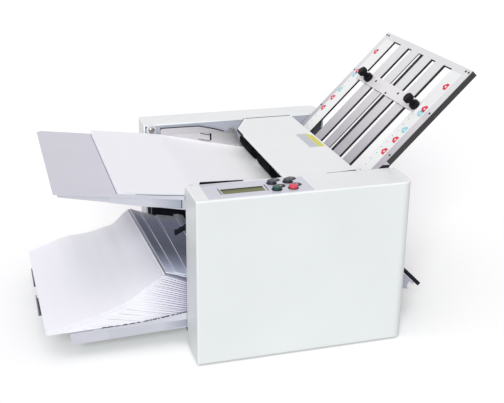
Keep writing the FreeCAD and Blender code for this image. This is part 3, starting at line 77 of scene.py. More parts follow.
def on_plate(down, across, out):
    """A point given in millimetres on the upper plate, in metres."""
    down, across, out = np.broadcast_arrays(down, across, out)
    return (PLATE_FOOT
            + (PLATE_TOP - down)[..., None] * PLATE_UP * MM
            + (PLATE_FACE + out)[..., None] * PLATE_OUT * MM
            + (across - PLATE_HALF)[..., None] * INWARDS * MM)


# ------------------------ meshes from arrays

def mesh_piece(name, points, faces, material, smooth=False):
    """A mesh object from an array of points and a list of faces."""
    mesh = bpy.data.meshes.new(name)
    mesh.from_pydata(np.asarray(points, float).reshape(-1, 3), [], faces)
    mesh.validate()
    if smooth:
        mesh.polygons.foreach_set("use_smooth", np.ones(len(mesh.polygons), bool))
        mesh.set_sharp_from_angle(angle=math.radians(35.0))
    mesh.materials.append(material)
    mesh.update()
    piece = bpy.data.objects.new(name, mesh)
    bpy.context.scene.collection.objects.link(piece)
    return piece


def grid_faces(rows, columns, wrap_rows=False, wrap_columns=False):
    """The quads of a rows by columns grid of points, numbered row by row."""
    i = np.arange(rows if wrap_rows else rows - 1)
    j = np.arange(columns if wrap_columns else columns - 1)
    a, b = np.meshgrid(i, j, indexing="ij")
    c = (a + 1) % rows
    e = (b + 1) % columns
    quads = np.stack([a * columns + b, c * columns + b, c * columns + e, a * columns + e], axis=-1)
    return quads.reshape(-1, 4).tolist()


def slab(top, bottom):
    """Points and faces of a thin closed solid between two equal grids of points.

    Each row's section is the top's points forwards and the bottom's points backwards; the
    sections are joined row to row, and both end sections are closed with a strip of quads.
    """
    rows, columns = top.shape[:2]
    section = np.concatenate([top, bottom[:, ::-1]], axis=1)
    j = np.arange(columns - 1)
    low = np.stack([j, j + 1, 2 * columns - 2 - j, 2 * columns - 1 - j], axis=-1)
    high = low[:, ::-1] + (rows - 1) * 2 * columns
    faces = grid_faces(rows, 2 * columns, wrap_columns=True) + low.tolist() + high.tolist()
    return section.reshape(-1, 3), faces


def joined(parts):
    """Several (points, faces) parts as one: a part's numbers start after the points before it."""
    points = []
    faces = []
    count = 0
    for part_points, part_faces in parts:
        points.append(part_points)
        faces += [[index + count for index in face] for face in part_faces]
        count += len(part_points)
    return np.concatenate(points), faces


def prism_between(low, high):
    """A closed solid between two equal rings of points: two end faces and a belt of quads."""
    count = len(low)
    i = np.arange(count)
    belt = np.stack([i, (i + 1) % count, (i + 1) % count + count, i + count], axis=-1)
    faces = [i[::-1].tolist(), (i + count).tolist()] + belt.tolist()
    return np.concatenate([low, high]), faces


def rectangle(first, second):
    """A rectangle's corners from its (low, high) pairs along two axes."""
    return [(first[i], second[j]) for i, j in ((0, 0), (1, 0), (1, 1), (0, 1))]


def patch(place, corners, low, high):
    """A closed thin solid over flat corners, from a low to a high distance.

    Place turns a corner's two numbers and a distance into a point.
    """
    first, second = np.array(corners, float).T
    return prism_between(place(first, second, low), place(first, second, high))


def brick(along, inward, up):
    """A closed upright block from (low, high) pairs in millimetres."""
    return patch(at, rectangle(along, inward), *up)


def plate_patch(corners, low, high):
    """A thin closed patch on the upper plate from its (down, across) corners."""
    return patch(on_plate, corners, low, high)


def upright_patch(corners, near, far):
    """A closed upright plate between two depths from its (along, up) corners, in millimetres."""
    return patch(lambda along, up, inward: at(along, inward, up), corners, near, far)


def upright_band(along, upper, lower, near, far):
    """A closed upright band between two lines of heights over the same places."""
    corners = np.concatenate([np.stack([along, upper], -1), np.stack([along, lower], -1)[::-1]])
    return upright_patch(corners, near, far)


def flat_patch(corners, low, high):
    """A closed level plate between two heights from its (along, inward) corners."""
    return patch(at, corners, low, high)


def plate_bar(down, across, out):
    """A closed block on the upper plate from (low, high) pairs in millimetres."""
    return plate_patch(rectangle(down, across), *out)


def turned_form(profile, centre, axis, side, segments=48, ripple=None, capped=True):
    """Points and faces of a turned piece, closed at both ends, or a ring of a closed profile.

    Point(i, k) = centre + axis * height_i + radius_ik * (side * cos t_k + (axis x side) * sin t_k),
    where radius_ik is the profile's radius plus ripple(i, t_k).
    """
    profile = np.asarray(profile, float) * MM
    turn = np.linspace(0.0, 2.0 * math.pi, segments, endpoint=False)
    radius = np.repeat(profile[:, :1], segments, axis=1)
    if ripple is not None:
        radius = radius + ripple(np.arange(len(profile))[:, None], turn)
    ring = np.cos(turn)[:, None] * side + np.sin(turn)[:, None] * np.cross(axis, side)
    points = centre + profile[:, 1, None, None] * axis + radius[..., None] * ring
    faces = grid_faces(len(profile), segments, wrap_rows=not capped, wrap_columns=True)
    if capped:
        first = np.arange(segments)
        faces += [first[::-1].tolist(), (first + (len(profile) - 1) * segments).tolist()]
    return points.reshape(-1, 3), faces


def outward(piece):
    """Point every face of a closed piece outwards."""
    work = bmesh.new()
    work.from_mesh(piece.data)
    bmesh.ops.recalc_face_normals(work, faces=work.faces)
    work.to_mesh(piece.data)
    work.free()


def dress(name, parts, material, slot_name, *stands_for, body="machine", smooth=False):
    """A new closed piece from its parts.

    It moves with a body, takes the given finish and stands for the named nodes; the slot name is
    not used.
    """
    piece = mesh_piece(name, *joined(parts), material, smooth)
    outward(piece)
    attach(piece, body)
    if stands_for:
        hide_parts(*stands_for)


# ------------------------ sheets of paper

def soft_min(a, b, width):
    """The lower of two heights with a rounded meeting: (a + b - sqrt((a - b)^2 + width^2)) / 2."""
    return (a + b - np.sqrt((a - b) ** 2 + width ** 2)) / 2.0


def soft_max(a, b, width):
    """The higher of two heights with a rounded meeting."""
    return -soft_min(-a, -b, width)


def between(rear, front, width):
    """Values that run straight from the rear edge to the front edge."""
    return rear + (front - rear) * width


def shares(rows, columns):
    """How far each row lies along a sheet, and each column across it, from 0 to 1."""
    return np.linspace(0.0, 1.0, rows)[:, None], np.linspace(0.0, 1.0, columns)[None, :]


def smooth_line(corners, x, blur=3.0):
    """Heights at x of a line through the corners, averaged over a few millimetres."""
    knots = np.array(corners)
    offsets = np.linspace(-blur, blur, 9)
    weights = 1.0 + np.cos(math.pi * offsets / (1.2 * blur))
    heights = np.interp(x[..., None] + offsets, knots[:, 0], knots[:, 1])
    return (heights * weights).sum(axis=-1) / weights.sum()


def sheet_form(along, height, across, thick):
    """A bent sheet as a slab: rows run along the machine, columns across it, in millimetres.

    Top(i, j) = (along_ij, across_ij, height_ij); the underside lies thick_ij below the top.
    What is the same for a whole row, a whole column or the whole sheet is given once.
    """
    return slab(at(along, across, height), at(along, across, height - thick))


# ------------------------ materials

class Finish:
    """A procedural surface finish whose pattern lies on the piece's own coordinates."""

    def __init__(self, name, colour, roughness, metallic=0.0, coat=0.0, sheen=0.0):
        self.material = bpy.data.materials.new(name)
        self.material.use_nodes = True
        self.tree = self.material.node_tree
        self.shader = self.tree.nodes["Principled BSDF"]
        for key, value in {"Base Color": (*colour, 1.0), "Roughness": roughness,
                           "Metallic": metallic, "Coat Weight": coat,
                           "Sheen Weight": sheen}.items():
            self.shader.inputs[key].default_value = value
        self.colour = np.array(colour)
        self.roughness = roughness
        self.place = self.tree.nodes.new("ShaderNodeTexCoord").outputs["Object"]

    def add(self, kind, source, socket, **values):
        """A node whose named socket takes the source and whose other inputs hold the values."""
        item = self.tree.nodes.new(kind)
        for key, value in values.items():
            item.inputs[key.replace("_", " ")].default_value = value
        self.tree.links.new(source, item.inputs[socket])
        return item

    def drive(self, source, socket):
        """The shader's named input takes the source."""
        self.tree.links.new(source, self.shader.inputs[socket])

    def noise(self, scale, detail=3.0, stretch=(1.0, 1.0, 1.0)):
        """A cloud of values round one half, its pattern stretched along each axis."""
        mapping = self.add("ShaderNodeMapping", self.place, "Vector", Scale=stretch)
        return self.add("ShaderNodeTexNoise", mapping.outputs["Vector"], "Vector", Scale=scale,
                        Detail=detail).outputs["Fac"]

    def ramp(self, factor, stops):
        """The base colour runs through the (position, colour) stops with the factor."""
        node = self.add("ShaderNodeValToRGB", factor, "Fac")
        elements = node.color_ramp.elements
        for position, _ in stops[1:-1]:
            elements.new(position)
        for element, (position, colour) in zip(elements, stops):
            element.position = position
            element.color = (*colour, 1.0)
        self.drive(node.outputs["Color"], "Base Color")

    def drift(self, factor, amount):
        """The base colour runs between a little darker and a little lighter with the factor."""
        light = np.minimum(self.colour * (1.0 + amount), 1.0)
        self.ramp(factor, ((0.3, self.colour * (1.0 - amount)), (0.7, light)))

    def run(self, axis, start, end, stops):
        """The base colour runs through the stops between two places on an axis, in metres."""
        place = self.add("ShaderNodeSeparateXYZ", self.place, "Vector")
        share = self.add("ShaderNodeMapRange", place.outputs[axis], "Value", From_Min=start,
                         From_Max=end)
        self.ramp(share.outputs["Result"], stops)

    def polish(self, factor, amount):
        """Roughness varies by the amount each way with the factor."""
        spread = self.add("ShaderNodeMapRange", factor, "Value",
                          To_Min=max(self.roughness - amount, 0.02),
                          To_Max=min(self.roughness + amount, 1.0))
        self.drive(spread.outputs["Result"], "Roughness")

    def grain(self, factor, height):
        """A bump of the given height in millimetres."""
        bump = self.add("ShaderNodeBump", factor, "Height", Strength=1.0, Distance=height * MM)
        self.drive(bump.outputs["Normal"], "Normal")

    def wear(self, drift, gloss, tooth, run=None):
        """The finished material; a pattern is (the amount, what the noise takes).

        Drift changes the tone, unless a run of tones is given, gloss the roughness, tooth the bump.
        """
        if run:
            self.run(*run)
        else:
            self.drift(self.noise(*drift[1:]), drift[0])
        self.polish(self.noise(*gloss[1:]), gloss[0])
        if tooth:
            self.grain(self.noise(*tooth[1:]), tooth[0])
        return self.material


def painted(name, colour, roughness=0.42, coat=0.15, run=None):
    """Sprayed paint: a slow colour drift, or a given run of tones, and a fine orange-peel bump."""
    return Finish(name, colour, roughness, coat=coat).wear(
        (0.018, 9.0, 4.0), (0.06, 60.0, 3.0), (0.03, 900.0, 2.0), run)


def rolled(name, colour, roughness, along="y"):
    """Rolled or ground metal: fine lines along one axis."""
    made = Finish(name, colour, roughness, metallic=1.0)
    lines = made.noise(3.0, 4.0, [4.0 if axis == along else 220.0 for axis in "xyz"])
    made.drift(lines, 0.10)
    made.polish(lines, 0.10)
    made.grain(lines, 0.02)
    return made.material


def polished(name, colour, roughness):
    """Drawn or polished metal without lines: only a slow change of tone and gloss."""
    return Finish(name, colour, roughness, metallic=1.0).wear(
        (0.03, 12.0, 2.0), (0.05, 20.0, 2.0), None)


def moulded(name, colour, roughness=0.5, stipple=0.04, coat=0.0, shine=0.25):
    """Moulded plastic or rubber: a fine stipple."""
    made = Finish(name, colour, roughness, coat=coat)
    made.shader.inputs["Specular IOR Level"].default_value = shine
    return made.wear((0.06, 25.0, 3.0), (0.08, 140.0, 3.0), (stipple, 1500.0, 2.0))


def paper(name, colour, run=None, sheen=0.05):
    """Uncoated paper: a slow tone, or a given run of tones, short fibres and a fine tooth."""
    return Finish(name, colour, 0.85, sheen=sheen).wear(
        (0.012, 30.0, 5.0, (1.0, 0.5, 1.0)), (0.05, 300.0, 2.0), (0.02, 1200.0, 3.0), run)


def tone_along(colour, deep, start, end):
    """A run from one colour to another between two places along the machine, in millimetres."""
    low, high = (place * MM + CORNER[0] for place in (start, end))
    return "X", low, high, ((0.0, colour), (1.0, deep))


# Painted shade on the sheets that lean under the rollers: greys from the front edge to the rear
# edge.
PAINTED_SHADE_GREYS = ((0.0, 0.88), (0.06, 0.74), (0.17, 0.47), (0.32, 0.28), (0.44, 0.25), (0.65, 0.39),
             (0.84, 0.58), (1.0, 0.92))
PAINTED_SHADE_DEPTH = (-0.135, 0.144)         # where that run starts and ends, in metres
# The blue tint of that painted shade.
PAINTED_SHADE_BLUE = (1.0, 1.03, 1.38)


def shade_painted_paper(name):
    """Paper with painted shade: its tone deepens and turns blue towards the machine's middle."""
    stops = [(share, np.minimum(np.multiply(grey, PAINTED_SHADE_BLUE), 0.97)) for share, grey in PAINTED_SHADE_GREYS]
    return paper(name, (0.6, 0.6, 0.65), ("Y", *PAINTED_SHADE_DEPTH, stops), 0.0)


# Painted shade and reflection on the upper plate: tones from its foot to its upper end.
PLATE_SHADE_TONES = ((0.0, (0.43, 0.405, 0.455)), (0.25, (0.445, 0.42, 0.46)),
               (0.62, (0.68, 0.645, 0.67)), (0.78, (0.735, 0.715, 0.73)), (1.0, (0.75, 0.73, 0.75)))
PLATE_SHADE_HEIGHTS = (0.20, 0.36)              # where that run starts and ends, in metres


def plate_metal(name):
    """Satin sheet with painted shade and reflection: darker towards its foot, lighter towards its
    upper end.
    """
    return Finish(name, (0.60, 0.58, 0.61), 0.34, coat=0.2).wear(
        None, (0.06, 90.0, 3.0), (0.02, 900.0, 2.0), ("Z", *PLATE_SHADE_HEIGHTS, PLATE_SHADE_TONES))


def repaint(material, *names):
    """Give carried-over nodes a finish."""
    for name in names:
        item = NODES[name]
        item.data.materials.clear()
        item.data.materials.append(material)


# ------------------------ the delivery's paper

TRAY_AT_ZERO = 41.05          # height of the tray's face at the cover's left face
TRAY_SLOPE = 0.03125
PILE_SHEETS = 26
PILE_REAR = 343.3             # the sheets' rear and front edges
PILE_FRONT = 65.6
PILE_RIGHT = 55.0
PILE_LEFT = {"rear": -197.5, "front": -192.7}       # where the top sheet starts, at each edge
PRESSED = 0.3                 # what one pressed sheet takes up, at most
LOOSE = 0.28                  # what one sheet takes up where it rests on the others
SOONER = 3.1                  # how much lower each next sheet turns down towards the rollers
FLATTER = 0.012               # how much less steeply each next sheet falls
LEAST_FALL = 0.16
REAR_CREST = ((-197.0, 38.6), (-165.0, 50.1), (-151.0, 56.1), (-132.7, 60.1), (-107.4, 61.8),
              (-91.0, 64.6), (-74.7, 69.6), (-64.0, 71.7), (-54.0, 78.8), (-43.5, 90.2),
              (-32.7, 97.2), (-20.0, 98.5))
FRONT_CREST = ((-192.0, 39.3), (-164.0, 46.8), (-139.0, 53.0), (-104.0, 63.3), (-84.0, 71.5),
               (-70.0, 80.4), (-50.0, 95.1), (-34.0, 104.9), (-24.0, 108.0))
# Sheets that still lean on the rollers: rear edge and front edge as (along, up) points.
LEANING = (
    (((-31.6, 97.6), (-15.0, 88.3), (12.0, 79.0), (55.0, 64.0)),
     ((-27.5, 110.5), (-14.0, 106.2), (5.0, 98.0), (55.0, 71.0))),
    (((-15.4, 90.4), (11.0, 80.0), (38.0, 73.0), (55.0, 66.0)),
     ((-14.3, 108.4), (3.0, 102.3), (34.0, 88.0), (55.0, 73.0))),
    (((11.0, 82.2), (39.0, 76.5), (48.0, 72.0), (55.0, 68.0)),
     ((3.0, 104.6), (34.0, 91.0), (45.0, 83.0), (55.0, 75.0))),
    (((39.8, 79.2), (47.0, 79.6), (55.0, 77.0)), ((35.0, 95.0), (45.0, 90.0), (55.0, 82.0))),
)
# A second fold line beside the pile's crest, drawn as a painted highlight, and the grey crease of
# painted shade that joins it to the crest.
CREST_FOLD = (((-36.8, 95.0), (-35.0, 96.0)), ((-30.8, 107.0), (-29.0, 107.6)))
CREST_CREASE_SHADE = (((-35.0, 95.9), (-33.2, 96.8)), ((-29.0, 107.6), (-27.2, 108.0)))


def tray_face(along):
    """Height of the tray's upper face."""
    return TRAY_AT_ZERO + TRAY_SLOPE * along


def pile_edge(along, crest, index, start, fall):
    """Height of one sheet's edge: it follows the crest line, then falls towards the rollers.

    z = max(tray + rest, min(crest(x) - nip * index, start - SOONER * index - slope * x))
    with rounded meetings; nip is what one pressed sheet takes up, and the slope is
    max(fall - FLATTER * index, LEAST_FALL).
    """
    floor = tray_face(along)
    top = smooth_line(crest, along)
    top = top - np.minimum(PRESSED, 0.8 * (top - floor) / (PILE_SHEETS + 2)) * index
    falling = start - SOONER * index - np.maximum(fall - FLATTER * index, LEAST_FALL) * along
    rest = np.minimum(floor + 0.7 + LOOSE * (PILE_SHEETS - index), top)
    return soft_max(rest, soft_min(top, falling, 2.2), 0.6)


def delivery_pile():
    """Parts of the folded sheets: each turns down at its own place on the crest."""
    chance = np.random.default_rng(7)
    share, width = shares(90, 9)
    slide = chance.uniform(0.2, 2.0, PILE_SHEETS + 1)
    slide[0] = 0.0
    skew = chance.uniform(0.0, 0.9, PILE_SHEETS + 1)
    lift = chance.normal(0.0, 0.12, PILE_SHEETS + 1)

    def edge(index, side, crest, start, fall):
        left = PILE_LEFT[side] + slide[index]
        along = between(left, PILE_RIGHT, share)
        return np.stack([along, pile_edge(along, crest, index + lift[index], start, fall)])

    def sheet(index):
        return between(edge(index, "rear", REAR_CREST, 84.0, 0.42),
                       edge(index, "front", FRONT_CREST, 92.0, 0.47), width)

    parts = []
    for index in range(PILE_SHEETS):
        along, height = sheet(index)
        fill = np.interp(along, (-85.0, -45.0, -5.0), (0.998, 0.87, 0.55))
        thick = np.clip(fill * (height - sheet(index + 1)[1]), 0.1, 4.0)
        across = between(PILE_REAR - 0.4 * skew[index], PILE_FRONT + 0.6 * skew[index], width)
        parts.append(sheet_form(along, height, across, thick))
    return parts


def leaning_sheet(rear, front):
    """A folded sheet whose left edge lies free on the one before."""
    share, width = shares(60, 9)

    def edge(corners):
        along = between(corners[0][0], corners[-1][0], share)
        return np.stack([along, smooth_line(corners, along)])

    along, height = between(edge(rear), edge(front), width)
    return sheet_form(along, height, between(PILE_REAR - 1.0, PILE_FRONT + 0.5, width), 1.1)


def ridge_highlight_strip(rear, front, reach=1.3):
    """The fold along a leaning sheet's free left edge: a thin strip just above it, lighter than the
    shaded sheet, as a painted highlight.
    """
    share, width = shares(2, 9)

    def edge(corners):
        along = corners[0][0] + share * reach
        return np.stack([along - 0.2, np.interp(along, *np.array(corners).T) + 0.25])

    along, height = between(edge(rear), edge(front), width)
    return sheet_form(along, height, between(PILE_REAR - 1.2, PILE_FRONT + 0.7, width), 0.9)


# ------------------------ the stack on the feed table

STACK_SHEETS = 13
STACK_LEFT = -88.5
STACK_LENGTH = 246.0
STACK_FED = 13.0              # the upper sheets reach this much further, under the feed roller
STACK_THICK = 6.0
BLOCK_TOP = 186.45            # just above the separator block
TABLE_CORNERS = ((-170.7, 238.8), (16.0, 213.8), (158.0, 180.8))    # the table's and ramp's face


def stack_on_table():
    """Parts of the unfolded sheets, each a little out of line with the next."""
    chance = np.random.default_rng(3)
    share, width = shares(60, 5)
    pitch = STACK_THICK / STACK_SHEETS
    parts = []
    for index in range(STACK_SHEETS):
        shift = chance.uniform(-0.35, 0.35, 2)
        under_roller = index - (STACK_SHEETS - 4)
        fed = STACK_FED if under_roller > 0 else 0.0
        along = STACK_LEFT + 0.4 + shift[0] + share * (STACK_LENGTH - 0.8 + fed) + 0.0 * width
        height = smooth_line(TABLE_CORNERS, along, 8.0) + 0.25 + pitch * (index + 0.85)
        if fed:
            height = np.maximum(height, BLOCK_TOP + 0.3 * under_roller)
        across = shift[1] + between(PILE_REAR + 0.2, PILE_FRONT - 0.4, width)
        parts.append(sheet_form(along, height, across, pitch * 0.8))
    return parts


# ------------------------ colours and stage settings that a user would change

class FoldingMachineColours(bpy.types.PropertyGroup):
    casing: bpy.props.FloatVectorProperty(
        name="Casing", description="Paint of the covers and the lid", subtype="COLOR",
        size=3, min=0.0, max=1.0, default=(0.82, 0.83, 0.835))
    trays: bpy.props.FloatVectorProperty(
        name="Tables and trays", description="Paint of the feed table and the delivery tray",
        subtype="COLOR", size=3, min=0.0, max=1.0, default=(0.62, 0.61, 0.68))
    sheets: bpy.props.FloatVectorProperty(
        name="Paper", description="Colour of the paper", subtype="COLOR",
        size=3, min=0.0, max=1.0, default=(0.925, 0.92, 0.955))


class FoldingMachineStage(bpy.types.PropertyGroup):
    lens: bpy.props.FloatProperty(
        name="Lens", description="Focal length of the camera", default=65.96, min=20.0,
        max=200.0, unit="CAMERA")
    key_light: bpy.props.FloatProperty(
        name="Key light", description="Strength of the light from the front", default=2.30,
        min=0.0, max=10.0)
    top_light: bpy.props.FloatProperty(
        name="Top light", description="Strength of the light from above", default=0.75,
        min=0.0, max=10.0)
    sky: bpy.props.FloatProperty(
        name="Surroundings", description="Strength of the even light from all round",
        default=0.40, min=0.0, max=5.0)


def colours():
    return bpy.context.scene.folding_machine_colours


def stage_settings():
    return bpy.context.scene.folding_machine_stage


# ------------------------ stage

FLOOR_REACH = 30.0            # metres
CAMERA_PLACE = (-0.3485, -1.2510, 0.6607)
CAMERA_ANGLES = (16.639, -21.350, 0.724)  # yaw, pitch and roll in degrees
# Each lamp: the way it shines, its spread in degrees and its colour.
LAMPS = {
    "key_light": ((0.38, 0.80, -0.46), 25.0, (0.93, 1.0, 0.975)),
    "top_light": ((0.1, 0.2, -1.0), 60.0, (1.0, 0.945, 0.985)),
}


def node_tree(owner):
    """The owner's empty shader tree."""
    owner.use_nodes = True
    owner.node_tree.nodes.clear()
    return owner.node_tree


def shader(tree, kind, **values):
    """The output of a shader node whose named inputs hold the values."""
    node = tree.nodes.new(kind)
    for key, value in values.items():
        node.inputs[key].default_value = value
    return node.outputs[0]


def combined(tree, kind, *sources):
    """The output of a node whose first inputs take the sources."""
    node = tree.nodes.new(kind)
    for source, target in zip(sources, node.inputs):
        tree.links.new(source, target)
    return node.outputs[0]


def show(tree, kind, lighting, seen):
    """One shader for the light that falls on things, one for what a ray sees straight away.

    Camera, mirror and see-through rays take the second.
    """
    path = tree.nodes.new("ShaderNodeLightPath")
    straight = path.outputs["Is Camera Ray"]
    for name in ("Is Glossy Ray", "Is Transmission Ray"):
        straight = combined(tree, "ShaderNodeMath", straight, path.outputs[name])
        straight.node.operation = "MAXIMUM"
    mixed = combined(tree, "ShaderNodeMixShader", straight, lighting, seen)
    tree.links.new(mixed, tree.nodes.new(kind).inputs["Surface"])


def make_floor():
    """A wide pale floor: dull where it lights the machine, pale where it is seen."""
    x, y = np.meshgrid((-FLOOR_REACH, FLOOR_REACH), (-FLOOR_REACH, FLOOR_REACH), indexing="ij")
    material = bpy.data.materials.new("pale floor")
    tree = node_tree(material)
    dull = shader(tree, "ShaderNodeBsdfDiffuse", Color=(0.35, 0.35, 0.35, 1.0))
    matt = shader(tree, "ShaderNodeBsdfDiffuse", Color=(0.91, 0.91, 0.905, 1.0))
    glow = shader(tree, "ShaderNodeEmission", Strength=0.17)
    show(tree, "ShaderNodeOutputMaterial", dull, combined(tree, "ShaderNodeAddShader", matt, glow))
    points = np.stack([x, y, np.zeros_like(x)], axis=-1)
    mesh_piece("floor", points, grid_faces(2, 2), material)


def make_world(strength):
    """Even light from all round, behind a plain white view."""
    world = bpy.data.worlds.new("studio")
    bpy.context.scene.world = world
    tree = node_tree(world)
    soft = shader(tree, "ShaderNodeBackground", Color=(0.99, 0.955, 1.0, 1.0), Strength=strength)
    white = shader(tree, "ShaderNodeBackground", Color=(1.0, 1.0, 1.0, 1.0), Strength=1.0)
    show(tree, "ShaderNodeOutputWorld", soft, white)


def make_lamp(name, strength, toward, spread, colour):
    """A far lamp that shines along the given direction."""
    lamp = bpy.data.lights.new(name, "SUN")
    lamp.energy = strength
    lamp.angle = math.radians(spread)
    lamp.color = colour
    item = bpy.data.objects.new(name, lamp)
    item.rotation_mode = "QUATERNION"
    item.rotation_quaternion = Vector(toward).to_track_quat("-Z", "Y")
    bpy.context.scene.collection.objects.link(item)


def make_camera(lens):
    """The camera looks along +Y turned towards +X, down at the machine, with a slight roll."""
    yaw, pitch, roll = (math.radians(angle) for angle in CAMERA_ANGLES)
    camera = bpy.data.objects.new("camera", bpy.data.cameras.new("camera"))
    camera.data.lens = lens
    camera.data.clip_end = 100.0
    camera.matrix_world = (Matrix.Translation(CAMERA_PLACE) @ Matrix.Rotation(-yaw, 4, "Z")
                           @ Matrix.Rotation(math.pi / 2.0 + pitch, 4, "X")
                           @ Matrix.Rotation(roll, 4, "Z"))
    bpy.context.scene.collection.objects.link(camera)
    bpy.context.scene.camera = camera


class FOLDER_OT_stage(bpy.types.Operator):
    """Make the pale floor, the soft lights and the camera"""

    bl_idname = "folder.stage"
    bl_label = "Stage"

    def execute(self, context):
        settings = stage_settings()
        context.scene.view_settings.view_transform = "Standard"
        make_floor()
        make_world(settings.sky)
        for name, lamp in LAMPS.items():
            make_lamp(name.replace("_", " "), getattr(settings, name), *lamp)
        make_camera(settings.lens)
        return {"FINISHED"}


# ------------------------ casing

LID_TOP = 234.5               # the upper faces of the lid and of the covers


def lid_edge():
    """A bright bead along the lid's left edge and its slanting corner: a painted highlight."""
    return flat_patch(((135.9, 62.6), (135.9, 292.9), (162.3, 345.4), (164.2, 345.4),
                       (137.7, 292.4), (137.7, 62.6)), LID_TOP, LID_TOP + 0.25)


def lid_seals():
    """Dark strips of painted shadow along the lid's rear and front edges and under its slanting
    corner.
    """
    face = (LID_TOP, LID_TOP + 0.2)
    return [
        flat_patch(((163.6, 344.6), (163.6, 346.9), (240.0, 346.9), (240.0, 344.6)), *face),
        flat_patch(((197.9, 62.0), (197.9, 62.9), (218.7, 62.7), (242.0, 65.4), (241.6, 62.0)),
                   *face),
        flat_patch(((134.9, 262.0), (134.9, 293.2), (161.7, 347.5), (163.6, 347.5),
                    (162.5, 347.05), (135.55, 293.05), (135.55, 262.0)), LID_TOP - 4.0,
                   LID_TOP - 0.1),
    ]


def lid_strip():
    """A plain coloured strip on the lid: its field, bars and band, without words or signs."""
    low, high = LID_TOP + 0.01, LID_TOP + 0.12
    field = flat_patch(((214.3, 174.0), (214.3, 243.0), (229.0, 243.0), (229.0, 175.0)), low, high)
    bars = [brick((start, start + 1.3), (178.0, 239.0), (high, high + 0.06))
            for start in (216.4, 219.6, 222.8, 226.0)]
    band = flat_patch(((229.0, 175.5), (229.0, 243.0), (231.0, 243.0), (238.2, 230.0),
                       (238.2, 176.0)), low, high)
    return (("field", [field], "strip grey", (0.60, 0.61, 0.66), "white_paint"),
            ("bars", bars, "strip blue-grey", (0.36, 0.38, 0.45), "grey_paint"),
            ("band", [band], "strip yellow", (0.62, 0.58, 0.03), "white_paint"))


class FOLDER_OT_casing(bpy.types.Operator):
    """Paint the covers, the lid, the base and the feet"""

    bl_idname = "folder.casing"
    bl_label = "Casing"

    def execute(self, context):
        casing = painted("casing paint", tuple(colours().casing))
        repaint(casing, "front_cover", "rear_cover", "top_lid")
        # The lid's left edge is painted lighter: a painted highlight.
        edge = painted("lid edge paint", (0.93, 0.93, 0.94), 0.35)
        dress("lid_edge", [lid_edge()], edge, "white_paint", body="lid")
        # Black strips that paint the shadows in the gaps round the lid.
        seal = moulded("lid seal", (0.02, 0.02, 0.025), 0.7, 0.02)
        dress("lid_seals", lid_seals(), seal, "black_plastic", body="lid")
        for name, parts, paint, colour, slot_name in lid_strip():
            dress("lid_strip_" + name, parts, painted(paint, colour, 0.4), slot_name, body="lid")
        repaint(painted("frame grey", (0.40, 0.41, 0.48), 0.5), "front_side_frame",
                "rear_side_frame")
        repaint(rolled("plated sheet", (0.32, 0.33, 0.36), 0.45), "base_plate", "power_supply",
                "drive_motor")
        repaint(rolled("ground bars", (0.62, 0.62, 0.64), 0.3), "tie_rods", "lid_hinge_pin",
                "support_studs", "feed_ramp", "paper_guides", "lower_plate_sheets", "lower_stop")
        repaint(rolled("bright screws", (0.72, 0.72, 0.74), 0.22, "z"), "frame_screws",
                "table_screws")
        repaint(moulded("foot rubber", (0.02, 0.02, 0.02), 0.8), "rubber_feet", "drive_belts")
        repaint(moulded("liner black", (0.012, 0.012, 0.02), 0.6, shine=0.1), "inner_liners",
                "exit_idler", "stacker_arm", "power_inlet", "power_switch", "lower_plate_frame")
        # The tray extension is painted dark for the shade on its tabs: painted shade.
        repaint(painted("extension grey", (0.17, 0.16, 0.22), 0.5), "tray_extension")
        repaint(moulded("gear plastic", (0.80, 0.78, 0.72), 0.4), "roller_gear_1",
                "roller_gear_2", "roller_gear_3", "roller_gear_4")
        repaint(rolled("turned brass", (0.72, 0.52, 0.22), 0.3), "motor_pinion", "shaft_bushes")
        return {"FINISHED"}


# ------------------------ control panel

PANEL_UP = 234.7              # the control panel's face
DISPLAY_UP = 234.4
DISPLAY_LOW = 229.0
DISPLAY_FRAME = ((36.95, 101.65), (17.05, 40.55))   # its outer edges: along and inward
DISPLAY_WINDOW = ((40.0, 97.6), (18.4, 36.2))
CELLS = (16, 2)               # character cells: in a line, and lines
CELL_CORNER = (3.3, 2.9)      # of the first cell, from the window's
CELL_HIGH = 5.2
LINE_PITCH = 6.6
BUTTONS = {
    "button_back": (112.4, 42.1),
    "button_next": (135.0, 42.1),
    "button_start": (112.4, 18.4),
    "button_stop": (135.0, 18.4),
}
SIGN_SHIFT = (8.6, 11.6)      # from a button's middle to the middle of its sign
SIGN_SIZE = 0.8
SYMBOLS = {                   # corners of the pale sign on each button's dark disc, from its middle
    "button_back": [((-3.0, 0.0), (1.5, -2.6), (1.5, 2.6))],
    "button_next": [((3.0, 0.0), (-1.5, 2.6), (-1.5, -2.6))],
    "button_start": [((-1.0, 2.6), (-1.8, 2.6), (-1.8, -2.6), (-1.0, -2.6)),
                     ((2.6, 0.0), (-0.2, 2.4), (-0.2, -2.4))],
    "button_stop": [((-2.0, -2.0), (2.0, -2.0), (2.0, 2.0), (-2.0, 2.0))],
}


